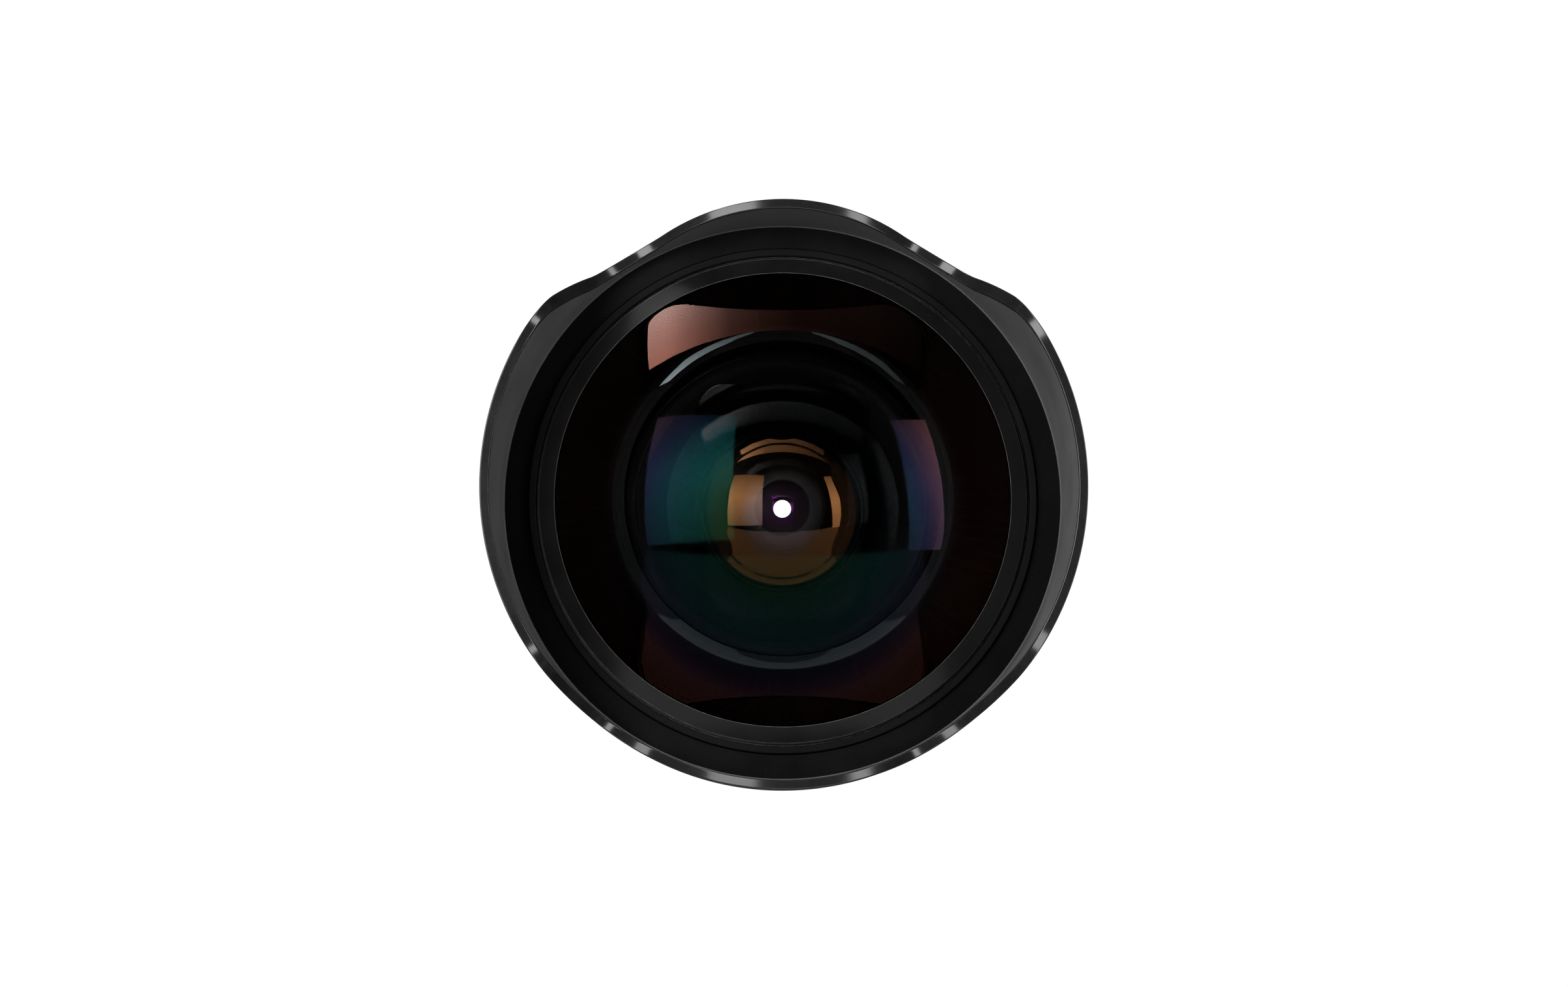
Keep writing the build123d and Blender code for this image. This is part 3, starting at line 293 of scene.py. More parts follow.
def turned(name, outline, finishes, rides, replaced, segments=turned_segments, kinds=None, shift=None):
    """Turns a closed outline of (radius, height, edge) about the axis. shift moves a row by angle."""
    count = len(outline)
    points = []
    edges = []
    for step in range(segments):
        angle = math.tau * step / segments
        for row, (radius, height, edge) in enumerate(outline):
            if shift:
                radius, height, edge = shift(row, radius, height, edge, angle)
            points.append((radius * math.cos(angle), radius * math.sin(angle), height))
            edges.append(edge)
    faces = []
    face_kinds = []
    for step in range(segments):
        here = step * count
        there = (step + 1) % segments * count
        for row in range(count):
            ahead = (row + 1) % count
            faces.append((here + row, there + row, there + ahead, here + ahead))
            face_kinds.append(kinds[row] if kinds else 0)
    return add_piece(name, points, faces, finishes, rides, replaced, face_kinds, edges)


def from_node(name, finishes, rounding=fine_corner, turn=0.0, new_name=None):
    """Turned piece on the outline of a CAD node, with rounded corners."""
    outline = rounded(section(name, turn), rounding)
    return turned(new_name or name + "_dressed", outline, finishes, body(name), [name])


# Finishes


class Finish:
    """Short calls that build the nodes of a material."""

    def __init__(self, name):
        self.material = bpy.data.materials.new(name)
        self.material.use_nodes = True
        self.tree = self.material.node_tree
        self.shader = self.tree.nodes["Principled BSDF"]
        self.place = self.add("ShaderNodeTexCoord").outputs["Object"]

    def add(self, kind, inputs=None, **settings):
        """Adds a node; inputs are values or links by socket name or number."""
        made = self.tree.nodes.new(kind)
        for key, value in settings.items():
            setattr(made, key, value)
        for key, value in (inputs or {}).items():
            if isinstance(value, bpy.types.NodeSocket):
                self.tree.links.new(value, made.inputs[key])
            else:
                made.inputs[key].default_value = value
        return made

    def noise(self, size, detail=2.0, place=None):
        """Noise from 0 to 1 with features of a size."""
        inputs = {"Vector": place or self.place, "Scale": 1 / size, "Detail": detail}
        return self.add("ShaderNodeTexNoise", inputs).outputs["Fac"]

    def math(self, operation, first, second=0.0):
        """One sum of two values."""
        return self.add("ShaderNodeMath", {0: first, 1: second}, operation=operation).outputs[0]

    def span(self, value, start, end, out_start=0.0, out_end=1.0):
        """Value stretched from one range to another, and kept in it."""
        inputs = {"Value": value, "From Min": start, "From Max": end, "To Min": out_start, "To Max": out_end}
        return self.add("ShaderNodeMapRange", inputs).outputs["Result"]

    def mix(self, share, first, second):
        """Colour between two colours."""
        inputs = {"Factor": share, 6: first, 7: second}
        return self.add("ShaderNodeMix", inputs, data_type="RGBA").outputs[2]

    def turning_place(self):
        """Coordinates that are the same all the way round the axis: (radius, 0, height)."""
        parts = self.add("ShaderNodeSeparateXYZ", {0: self.place}).outputs
        across = self.math("MULTIPLY", parts[0], parts[0])
        along = self.math("MULTIPLY", parts[1], parts[1])
        radius = self.math("SQRT", self.math("ADD", across, along))
        return self.add("ShaderNodeCombineXYZ", {0: radius, 2: parts[2]}).outputs[0]

    def join(self, **sockets):
        """Links or sets the shader's own sockets."""
        for key, value in sockets.items():
            socket = self.shader.inputs[key.replace("_", " ")]
            if isinstance(value, bpy.types.NodeSocket):
                self.tree.links.new(value, socket)
            else:
                socket.default_value = value


def grey(value, tint=(1.0, 1.0, 1.0)):
    """Linear colour of a grey value with a tint."""
    return (value * tint[0], value * tint[1], value * tint[2], 1.0)


def finish(name, dark, light, rough, metallic=0.0, grain=None, rings=None, edge_wear_and_highlight=None, patch=6.0, specular=0.5):
    """Hard surface: patchy colour and roughness, fine grain, turning lines and lighter edges, which are worn edges on
    most finishes and a painted highlight on the retaining ring and the hood rim.
    """
    made = Finish(name)
    patches = made.noise(patch * MM, 3.0)
    heights = []
    speckle = patches
    if grain:
        size, height = grain
        grain_noise = made.noise(size * MM, 3.0)
        speckle = made.math("ADD", made.math("MULTIPLY", patches, 0.5), made.math("MULTIPLY", grain_noise, 0.5))
        heights.append(made.math("MULTIPLY", grain_noise, height * MM))
    if rings:
        size, height = rings
        line_noise = made.noise(size * MM, 2.0, made.turning_place())
        heights.append(made.math("MULTIPLY", line_noise, height * MM))
    shade = made.span(speckle, 0.32, 0.68)
    colour = made.mix(shade, dark, light)
    roughness = made.span(patches, 0.3, 0.7, rough[0], rough[1])
    if edge_wear_and_highlight:
        edge = made.add("ShaderNodeAttribute", attribute_name="edge").outputs["Fac"]
        scuffs = made.span(made.noise(scuff_size, 4.0), 0.42, 0.62)
        edge_wear_and_highlight_mask = made.math("MULTIPLY", edge, made.span(scuffs, 0.0, 1.0, 0.45, 1.0))
        colour = made.mix(edge_wear_and_highlight_mask, colour, edge_wear_and_highlight)
    if heights:
        total = heights[0]
        for more in heights[1:]:
            total = made.math("ADD", total, more)
        bump = made.add("ShaderNodeBump", {"Height": total, "Distance": 1.0, "Strength": 1.0})
        made.join(Normal=bump.outputs[0])
    made.join(Base_Color=colour, Roughness=roughness, Metallic=metallic, Specular_IOR_Level=specular)
    return made.material


def coating(name, ior, stops):
    """Coated glass surface, whose reflection changes colour with the angle it is seen at."""
    made = Finish(name)
    facing = made.add("ShaderNodeLayerWeight", {"Blend": 0.5}).outputs["Facing"]
    ramp = made.add("ShaderNodeValToRGB", {"Fac": facing})
    places = ramp.color_ramp.elements
    places[0].position, places[0].color = stops[0][0], (*stops[0][1], 1.0)
    places[1].position, places[1].color = stops[-1][0], (*stops[-1][1], 1.0)
    for position, colour in stops[1:-1]:
        places.new(position).color = (*colour, 1.0)
    smear = made.span(made.noise(smear_size, 4.0), 0.66, 0.8, 0.0, 0.004)
    made.join(Base_Color=grey(1.0), Roughness=smear, IOR=ior, Transmission_Weight=1.0)
    made.join(Specular_Tint=ramp.outputs["Color"])
    return made.material


rim_wear = grey(0.05)
anodised = finish(
    "anodised_black", grey(0.012), grey(0.018), (0.24, 0.34), grain=(0.06, 0.0016),
    rings=(0.09, 0.0022), edge_wear_and_highlight=rim_wear,
)
# The hood rim's lighter edges are partly wear and partly a painted highlight along the fine line under the rim.
hood_rim_finish = finish(
    "hood_rim_anodised", grey(0.004), grey(0.007), (0.14, 0.2), grain=(0.3, 0.002), edge_wear_and_highlight=grey(0.012),
    specular=1.0,
)
hood_paint = finish(
    "hood_grained_paint", grey(0.038), grey(0.064), (0.5, 0.6), grain=(0.18, 0.03), patch=9.0,
)
hood_outside = finish(
    "hood_outside_anodised", grey(0.012), grey(0.02), (0.3, 0.4), grain=(0.08, 0.003), edge_wear_and_highlight=rim_wear,
)
cone_paint = finish(
    "cone_matte_paint", grey(0.002), grey(0.0046), (0.62, 0.74), grain=(0.18, 0.024), specular=0.08,
)
# The retaining ring's lighter rounded edges are a painted highlight: the thin bright line where it meets the glass.
ring_paint = finish(
    "ring_satin_paint", grey(0.0016), grey(0.003), (0.28, 0.34), rings=(0.5, 0.0006), edge_wear_and_highlight=grey(0.07),
    specular=0.55,
)
inner_paint = finish(
    "inner_matte_paint", grey(0.0008), grey(0.002), (0.55, 0.7), grain=(0.08, 0.004), rings=(0.15, 0.003),
    specular=0.06,
)
spacer_paint = finish(
    "spacer_satin_paint", grey(0.16, (1.0, 0.94, 0.95)), grey(0.22, (1.0, 0.94, 0.95)), (0.4, 0.5),
    grain=(0.08, 0.002), rings=(0.1, 0.003),
)
edge_paint = finish(
    "glass_edge_black", grey(0.0006), grey(0.0012), (0.5, 0.7), grain=(0.1, 0.002), specular=0.04,
)
rubber = finish(
    "grip_rubber", grey(0.014), grey(0.026), (0.62, 0.78), grain=(0.16, 0.012), specular=0.4,
    edge_wear_and_highlight=grey(0.035),
)
chrome = finish(
    "mount_satin_metal", grey(0.55, (1.0, 0.98, 0.95)), grey(0.66, (1.0, 0.98, 0.95)), (0.2, 0.32),
    metallic=1.0, grain=(0.1, 0.0012), rings=(0.07, 0.003), edge_wear_and_highlight=grey(0.8),
)
steel = finish(
    "bright_steel", grey(0.5), grey(0.6), (0.22, 0.34), metallic=1.0, grain=(0.08, 0.0015),
)
blade_metal = finish(
    "blade_steel", (0.05, 0.02, 0.04, 1.0), (0.07, 0.03, 0.06, 1.0), (0.35, 0.45), metallic=0.6, grain=(0.1, 0.001),
)
brass = finish(
    "machined_brass", (0.52, 0.37, 0.14, 1.0), (0.62, 0.46, 0.2, 1.0), (0.25, 0.36), metallic=1.0,
    grain=(0.08, 0.001), rings=(0.08, 0.003),
)
baffle_plastic = finish(
    "baffle_black_plastic", grey(0.008), grey(0.016), (0.5, 0.62), grain=(0.12, 0.006),
)
white_enamel = finish(
    "scale_white_enamel", grey(0.72), grey(0.8), (0.4, 0.5), grain=(0.07, 0.002),
)
amber_enamel = finish(
    "scale_amber_enamel", (0.62, 0.26, 0.03, 1.0), (0.72, 0.32, 0.05, 1.0), (0.4, 0.5), grain=(0.07, 0.002),
)
red_enamel = finish(
    "index_red_enamel", (0.5, 0.02, 0.015, 1.0), (0.6, 0.035, 0.02, 1.0), (0.35, 0.45), grain=(0.07, 0.002),
)

# Coatings. The front glass turns from green over teal and violet to salmon towards its edge
front_stops = [
    (0.0, (0.035, 0.17, 0.07)),
    (0.018, (0.030, 0.21, 0.10)),
    (0.032, (0.022, 0.23, 0.18)),
    (0.050, (0.014, 0.22, 0.22)),
    (0.070, (0.014, 0.17, 0.22)),
    (0.092, (0.030, 0.095, 0.19)),
    (0.108, (0.045, 0.06, 0.19)),
    (0.139, (0.30, 0.14, 0.27)),
    (0.160, (0.60, 0.21, 0.24)),
    (0.210, (0.52, 0.13, 0.06)),
]
rear_stops = [(0.0, (0.004, 0.006, 0.008)), (0.5, (0.01, 0.012, 0.015)), (1.0, (0.1, 0.12, 0.14))]
bevel_stops = [(0.0, (0.78, 0.98, 1.0)), (1.0, (0.85, 0.95, 1.0))]
amber_stops = [
    (0.0, (0.50, 0.34, 0.33)),
    (0.018, (0.54, 0.34, 0.28)),
    (0.034, (0.66, 0.30, 0.12)),
    (0.07, (0.78, 0.34, 0.11)),
    (1.0, (0.8, 0.45, 0.3)),
]
magenta_stops = [(0.0, (0.9, 0.10, 1.0)), (0.3, (0.8, 0.1, 0.9)), (1.0, (0.6, 0.4, 0.6))]
violet_stops = [(0.0, (0.45, 0.06, 0.55)), (0.3, (0.3, 0.05, 0.4)), (1.0, (0.2, 0.1, 0.3))]
green_stops = [(0.0, (0.06, 0.25, 0.09)), (0.3, (0.06, 0.25, 0.1)), (1.0, (0.3, 0.4, 0.3))]
dark_stops = [(0.0, (0.002, 0.003, 0.004)), (0.5, (0.004, 0.005, 0.006)), (1.0, (0.1, 0.1, 0.12))]


# Petal hood

hood_low, hood_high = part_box("petal_hood")
hood_tip = hood_high.z
hood_tip_radius = hood_high.x
hood_foot = hood_low.z
hood_floor = hood_tip - hood_floor_depth
hood_floor_top = hood_floor + hood_floor_rise
hump_centre = hood_tip - hump_depth - hump_radius
flank_top = hood_tip_radius - flank_inset + flank_depth / math.tan(flank_angle)
along_flank = Vector((math.cos(flank_angle), math.sin(flank_angle)))
off_flank = Vector((-math.sin(flank_angle), math.cos(flank_angle)))


def fillet_centre(offset):
    """Centre of the circle that touches the hump from outside and the flank."""
    start = Vector((flank_top, hood_tip)) + off_flank * offset
    from_hump = start - Vector((0, hump_centre))
    half = from_hump.dot(along_flank)
    rest = from_hump.length_squared - (hump_radius + offset) ** 2
    return start + along_flank * (-half + math.sqrt(half**2 - rest))


dip_centre = fillet_centre(dip_radius)
dip_start = dip_centre.x * hump_radius / (hump_radius + dip_radius)
dip_end = dip_centre.x - off_flank.x * dip_radius
corner_centre_height = hood_tip - petal_corner_radius
corner_centre = flank_top + (petal_corner_radius + (corner_centre_height - hood_tip) * off_flank.y) / -off_flank.x
corner_start = corner_centre + off_flank.x * petal_corner_radius


def rim_height(across):
    """Height of the petal outline at a distance from the YZ plane."""
    side = abs(across)
    if side < dip_start:
        return hump_centre + math.sqrt(hump_radius**2 - side**2)
    if side < dip_end:
        return dip_centre.y - math.sqrt(max(dip_radius**2 - (side - dip_centre.x) ** 2, 0))
    if side < corner_start:
        return hood_tip + (side - flank_top) * math.tan(flank_angle)
    if side < corner_centre:
        return corner_centre_height + math.sqrt(petal_corner_radius**2 - (side - corner_centre) ** 2)
    return hood_tip


def outer_wall(height):
    """Radius of the hood's outside at a height."""
    return hood_tip_radius + hood_outer_flare * (height - hood_tip)


def inner_wall(height):
    """Radius of the hood's inside at a height."""
    return hood_tip_radius - hood_wall + hood_inner_flare * (height - hood_tip)


def rim_point(wall, angle):
    """Point of the rim's edge on one of the walls."""
    height = hood_tip
    for _ in range(6):
        radius = wall(height)
        height = rim_height(radius * math.cos(angle))
    radius = wall(height)
    return Vector((radius * math.cos(angle), radius * math.sin(angle), height))


def wall_point(wall, angle, height, inset=0.0):
    """Point on one of the walls, or behind it by an inset."""
    radius = wall(height) + inset
    return Vector((radius * math.cos(angle), radius * math.sin(angle), height))


def even_angles(count):
    """Angles at equal steps along the rim."""
    fine = 8 * count
    raw = [rim_point(outer_wall, math.tau * step / fine) for step in range(fine + 1)]
    length = [0.0]
    for before, after in zip(raw, raw[1:]):
        length.append(length[-1] + (after - before).length)
    angles = []
    index = 0
    for step in range(count):
        wanted = length[-1] * step / count
        while length[index + 1] < wanted:
            index += 1
        share = (wanted - length[index]) / (length[index + 1] - length[index])
        angles.append(math.tau * (index + share) / fine)
    return angles


def curve_between(start, corner, end, steps):
    """Points of a rounding from start to end around a corner."""
    shares = [step / steps for step in range(steps + 1)]
    return [start * (1 - s) ** 2 + corner * 2 * s * (1 - s) + end * s**2 for s in shares]


# Numbers of the hood's finishes
on_rim, on_wall, on_outside, on_cone = range(4)


def hood_mesh():
    """Rows of points round the hood, with the finish of the band after each row and its edge mark, which gives worn
    edges and, along the fine line under the rim, a painted highlight.
    """
    angles = even_angles(hood_steps)
    outside = [rim_point(outer_wall, angle) for angle in angles]
    inside = [rim_point(inner_wall, angle) for angle in angles]

    def below(rim, wall, distance, inset=0.0):
        """Points on a wall at a distance under the rim, measured across the rim's edge."""
        made = []
        for index, point in enumerate(rim):
            before, after = rim[index - 1], rim[(index + 1) % len(rim)]
            radius = wall(point.z)
            run = math.atan2(before.x * after.y - before.y * after.x, before.x * after.x + before.y * after.y)
            across = Vector((run * radius, after.z - before.z)).normalized()
            angle = angles[index] + across.y * distance / radius
            made.append(wall_point(wall, angle, point.z - across.x * distance, inset))
        return made

    outer_start = below(outside, outer_wall, rim_rounding)
    inner_start = below(inside, inner_wall, rim_rounding)
    rows = []

    def row(points, kind, edge):
        rows.append((points, kind, edge))

    def level(radius, height, kind, edge):
        row([Vector((radius * math.cos(a), radius * math.sin(a), height)) for a in angles], kind, edge)

    # Outside, from the foot up to the rim
    foot_radius = outer_wall(hood_foot)
    level(foot_radius - fine_corner, hood_foot, on_outside, 1.0)
    level(foot_radius, hood_foot + fine_corner, on_outside, 0.7)
    row(outer_start, on_rim, 0.6)
    over_rim = [
        curve_between(start, corner, corner + (other - corner) * rim_rounding / hood_wall, 3)
        for start, corner, other in zip(outer_start, outside, inside)
    ]
    for step in (1, 2):
        row([points[step] for points in over_rim], on_rim, 1.0)
    row([points[3] for points in over_rim], on_rim, 0.3)
    into_hood = [
        curve_between(corner + (other - corner) * rim_rounding / hood_wall, corner, start, 3)
        for start, corner, other in zip(inner_start, inside, outside)
    ]
    row([points[0] for points in into_hood], on_rim, 0.3)
    for step in (1, 2):
        row([points[step] for points in into_hood], on_rim, 1.0)
    row(inner_start, on_rim, 0.4)

    # Fine line under the rim, then the grained inner wall down to the cone
    line_end = rim_line_start + rim_line_width
    # The lighter edge marks on both sides of the fine line are a painted highlight of its thin bright edges.
    row(below(inside, inner_wall, rim_line_start), on_rim, 0.8)
    row(below(inside, inner_wall, rim_line_start + rim_line_depth, rim_line_depth), on_rim, 0.0)
    row(below(inside, inner_wall, line_end - rim_line_depth, rim_line_depth), on_rim, 0.0)
    row(below(inside, inner_wall, line_end), on_wall, 0.9)
    row(below(inside, inner_wall, line_end + fine_corner), on_wall, 0.0)
    floor_radius = inner_wall(hood_floor)
    level(inner_wall(hood_floor + soft_corner), hood_floor + soft_corner, on_wall, 0.0)
    level(floor_radius - soft_corner, hood_floor + soft_corner * hood_floor_rise / cone_run, on_cone, 0.0)

    # Cone, bore and the hollow foot, on the outline of the CAD node
    cad = section("petal_hood")
    bore = min(radius for radius, _ in cad)
    level(bore + fine_corner, hood_floor_top - fine_corner * 0.3, on_cone, 0.8)
    level(bore, hood_floor_top - fine_corner, on_cone, 0.0)
    under = [point for point in cad if point[1] < hood_floor - under_floor]
    under.sort(key=lambda point: point[1])
    skirt_foot = min((p for p in under if p[0] < bore + same_radius), key=lambda p: p[1])
    skirt = [p for p in under if p[0] > bore + same_radius]
    skirt_outer = min((p for p in skirt), key=lambda p: p[0])[0]
    level(bore, skirt_foot[1] + fine_corner, on_cone, 0.0)
    level(bore + fine_corner, skirt_foot[1], on_cone, 0.0)
    level(skirt_outer, skirt_foot[1], on_cone, 0.0)
    socket = sorted({round(p[0], 6) for p in skirt})
    socket_radius = min((r for r in socket if r > skirt_outer + trough_clear), default=socket[-1])
    tops = [p[1] for p in skirt if abs(p[0] - skirt_outer) < same_radius and p[1] > skirt_foot[1] + trough_clear]
    socket_tops = [p[1] for p in skirt if abs(p[0] - socket_radius) < same_radius and p[1] > hood_foot + trough_clear]
    level(skirt_outer, max(tops), on_cone, 0.0)
    level(socket_radius, max(socket_tops), on_cone, 0.0)
    level(socket_radius, hood_foot, on_outside, 0.5)
    return rows


def petal_hood():
    """The hood as one closed mesh."""
    rows = hood_mesh()
    count = len(rows[0][0])
    points = []
    edges = []
    for places, _, edge in rows:
        points.extend(tuple(place) for place in places)
        edges.extend([edge] * count)
    faces = []
    kinds = []
    for index, (_, kind, _) in enumerate(rows):
        ahead = (index + 1) % len(rows)
        for step in range(count):
            following = (step + 1) % count
            here, there = index * count, ahead * count
            faces.append((here + step, here + following, there + following, there + step))
            kinds.append(kind)
    finishes = [hood_rim_finish, hood_paint, hood_outside, cone_paint]
    return add_piece(
        "petal_hood_dressed", points, faces, finishes, body("petal_hood"), ["petal_hood"], kinds, edges,
    )


petal_hood()

# Front cell, retaining ring and what shows round the glass
from_node("front_cell", [cone_paint], soft_corner)
from_node("glass_retaining_ring", [ring_paint], fine_corner)


# Glass


def sag(curve, radius):
    """Drop of a glass surface from its vertex to a radius."""
    return math.copysign(abs(curve) - math.sqrt(curve**2 - radius**2), curve)


def on_axis(names):
    """Highest and lowest height of glass nodes on the axis."""
    heights = []
    for name in names:
        for vertex in node(name).data.vertices:
            if math.hypot(vertex.co.x, vertex.co.y) < weld:
                heights.append(vertex.co.z)
    return max(heights), min(heights)


# Numbers of a glass element's finishes
on_front, on_rear, on_edge, on_bevel = range(4)


def glass(name, nodes, front_curve, rear_curve, rear_rim, finishes, bevel=None):
    """Glass element with exact spherical faces and a painted edge. rear_rim is the width of its flat rim,
    and bevel the width and height of a polished bevel inside that rim."""
    front, rear = on_axis(nodes)
    front_curve, rear_curve = front_curve * MM, rear_curve * MM
    edge = max(reach(part) for part in nodes)
    rear_edge = edge - rear_rim * MM
    outline = []
    for row in range(1, glass_rows + 1):
        radius = edge * row / glass_rows
        outline.append((radius, front - sag(front_curve, radius), on_front))
    edge_bottom = rear - sag(rear_curve, rear_edge)
    outline[-1] = (*outline[-1][:2], on_edge)
    if rear_rim:
        outline.append((edge, edge_bottom, on_edge))
    hollow = rear_edge
    if bevel:
        hollow = rear_edge - bevel[0]
        for step in range(bevel_steps):
            share = step / (bevel_steps - 1)
            bulge = bevel_bulge * math.sin(math.pi * share)
            outline.append((rear_edge - bevel[0] * share, edge_bottom + bevel[1] * share - bulge, on_bevel))
    for row in range(glass_rows, 0, -1):
        radius = hollow * row / glass_rows
        outline.append((radius, rear - sag(rear_curve, radius), on_rear))
    points = [(0, 0, front)]
    for step in range(glass_segments):
        angle = math.tau * step / glass_segments
        points.extend((r * math.cos(angle), r * math.sin(angle), z) for r, z, _ in outline)
    points.append((0, 0, rear))
    count = len(outline)
    faces = []
    kinds = []
    for step in range(glass_segments):
        here = 1 + step * count
        there = 1 + (step + 1) % glass_segments * count
        faces.append((0, here, there))
        kinds.append(on_front)
        for row in range(count - 1):
            faces.append((here + row, here + row + 1, there + row + 1, there + row))
            kinds.append(outline[row][2])
        faces.append((here + count - 1, len(points) - 1, there + count - 1))
        kinds.append(on_rear)
    return add_piece(
        name, points, faces, finishes, body(nodes[0]), nodes, kinds, sharp=math.radians(20),
    )


glass("front_glass", ["front_element"], 45, 26, 10.908, [
    coating("front_glass_front", 1.52, front_stops), coating("front_glass_rear", 1.52, rear_stops), edge_paint,
    coating("front_glass_bevel", 1.52, bevel_stops)], bevel=(glass_bevel_width, glass_bevel_height))
glass("second_glass", ["second_element"], 60, 21, 3.502, [
    coating("second_glass_front", 1.9, dark_stops), coating("second_glass_rear", 1.9, dark_stops), edge_paint])
glass("third_glass", ["third_element"], 200, 20, 7.15, [
    coating("third_glass_front", 1.8, amber_stops), coating("third_glass_rear", 1.8, dark_stops), edge_paint])
glass("fourth_glass", ["fourth_element"], 18, -60, 0.5, [
    coating("fourth_glass_front", 1.6, violet_stops), coating("fourth_glass_rear", 1.6, dark_stops), edge_paint])
glass("pair_a_glass", ["pair_a_front", "pair_a_back"], 22, -60, 0, [
    coating("pair_a_front_coat", 1.62, magenta_stops), coating("pair_a_rear_coat", 1.62, magenta_stops), edge_paint])
glass("pair_b_glass", ["pair_b_front", "pair_b_back"], 28, -80, 0, [
    coating("pair_b_front_coat", 1.62, green_stops), coating("pair_b_rear_coat", 1.62, magenta_stops), edge_paint])

# Cells, rings and spacers behind the front glass
from_node("second_cell", [inner_paint])
from_node("second_retaining_ring", [inner_paint])
from_node("inner_cell", [inner_paint])
from_node("third_retaining_ring", [inner_paint])
from_node("stop_spacer", [spacer_paint])
from_node("pair_spacer", [inner_paint])
from_node("rear_retaining_ring", [inner_paint])


# Barrel


def toothed(angle, count, share, ease_share):
    """From 0 between the teeth of a ring to 1 on them, with an easy slope at their sides."""
    phase = abs((angle * count / math.tau + 0.5) % 1.0 - 0.5) * 2
    level = min(max((share + ease_share - phase) / (2 * ease_share), 0.0), 1.0)
    return level * level * (3 - 2 * level)


def grip_piece():
    """Rubber grip: two plain end bands and straight ribs with rounded ends between them."""
    inner = min(radius for radius, _ in section("focus_grip", math.radians(2.5)))
    outer = reach("focus_grip") - grip_rib_rise
    bottom, top = low("focus_grip"), high("focus_grip")
    foot, head = bottom + grip_band, top - grip_band
    slope = grip_band_ease * 0.4
    outline = [
        (inner, bottom, 0.0),
        (outer - grip_corner, bottom, 0.4),
        (outer - grip_corner_cut, bottom + grip_corner_cut, 0.8),
        (outer, bottom + grip_corner, 0.4),
        (outer, foot, 0.0),
        (outer, foot + slope, 0.0),
        (outer, foot + grip_band_ease, 0.0),
        (outer, head - grip_band_ease, 0.0),
        (outer, head - slope, 0.0),
        (outer, head, 0.0),
        (outer, top - grip_corner, 0.4),
        (outer - grip_corner_cut, top - grip_corner_cut, 0.8),
        (outer - grip_corner, top, 0.4),
        (inner, top, 0.0),
    ]
    part_rise = {5: 0.72, 6: 1.0, 7: 1.0, 8: 0.72}

    def shift(row, radius, height, edge, angle):
        if row not in part_rise:
            return radius, height, edge
        smooth = toothed(angle, grip_rib_count, grip_rib_share, grip_rib_ease_share)
        return radius + grip_rib_rise * part_rise[row] * smooth, height, 0.8 if 0.2 < smooth < 0.999 else edge

    return turned(
        "focus_grip_dressed", outline, [rubber], body("focus_grip"), ["focus_grip"],
        grip_rib_count * grip_rib_points, shift=shift,
    )


def aperture_piece():
    """Aperture ring: a plain band for the stop numbers and a raised band of grooves."""
    bottom, top = low("aperture_ring"), high("aperture_ring")
    plain = section("aperture_ring", between_grooves)
    bore = min(radius for radius, _ in plain)
    full = max(radius for radius, _ in plain)
    grip_bottom, grip_top = bottom + aperture_grip_start, bottom + aperture_grip_end
    ring = full - aperture_grip_rise
    outline = [
        (bore, bottom, 0.0),
        (ring - aperture_chamfer, bottom, 0.9),
        (ring, bottom + aperture_chamfer, 0.9),
        (ring, bottom + aperture_chamfer + aperture_ease, 0.0),
        (ring, grip_bottom, 0.0),
        (full - aperture_ease, grip_bottom, 1.0),
        (full, grip_bottom + aperture_ease, 1.0),
        (full, grip_top - aperture_ease, 1.0),
        (full - aperture_ease, grip_top, 1.0),
        (ring, grip_top, 0.0),
        (ring, top - aperture_ease, 0.0),
        (ring - aperture_ease, top, 0.9),
        (bore, top, 0.0),
    ]

    def shift(row, radius, height, edge, angle):
        if row not in (5, 6, 7, 8):
            return radius, height, edge
        smooth = toothed(angle, aperture_groove_count, aperture_groove_share, aperture_groove_ease_share)
        return radius - aperture_groove_depth * smooth, height, edge if smooth < 0.6 else 0.0

    return turned(
        "aperture_ring_dressed", outline, [anodised], body("aperture_ring"), ["aperture_ring"],
        aperture_groove_count * aperture_groove_points, shift=shift,
    )


from_node("focus_ring", [anodised], soft_corner, between_grooves)
from_node("scale_ring", [anodised], soft_corner, between_grooves)
from_node("front_barrel", [anodised], soft_corner)
grip_piece()
aperture_piece()

# CAD nodes that keep their shape and get a detailed finish
kept = {
    "mount_ring": chrome,
    "mount_screws": steel,
    "rear_baffle": baffle_plastic,
    "rear_barrel": anodised,
    "index_bead": white_enamel,
    "focus_retainer": brass,
    "focus_key": brass,
    "focus_stop_pin": steel,
    "click_ball": steel,
    "click_leaf": steel,
    "iris_drive_bar": steel,
    "helicoid_ring": brass,
    "lens_barrel": anodised,
    "iris_base_plate": blade_metal,
    "iris_housing": inner_paint,
    "rear_cell": inner_paint,
    "iris_cam_ring": brass,
}
for blade in range(1, 7):
    kept[f"iris_blade_{blade}"] = blade_metal
for name, material in kept.items():
    for holder in node(name).material_slots:
        holder.material = material


# Numbers and lines, inlaid in the rings


def wall_radius(name, height):
    """Outer radius of a turned CAD node at a height."""
    outline = section(name, between_grooves)
    found = []
    for index, (radius, level) in enumerate(outline):
        before_radius, before_level = outline[index - 1]
        if (level - height) * (before_level - height) <= 0 and level != before_level:
            share = (height - before_level) / (level - before_level)
            found.append(before_radius + (radius - before_radius) * share)
    return max(found)


def wrap(name, flat, faces, finish_used, carrier, height, angle):
    """Bends a flat shape of (along, up, out) points round the wall of the ring that carries it."""
    wall = wall_radius(carrier, height)
    points = []
    for along, up_by, out_by in flat:
        turn_by = angle + along / wall
        points.append(((wall + out_by) * math.cos(turn_by), (wall + out_by) * math.sin(turn_by), height + up_by))
    add_piece(name, points, faces, [finish_used], body(carrier), [], sharp=math.radians(30))


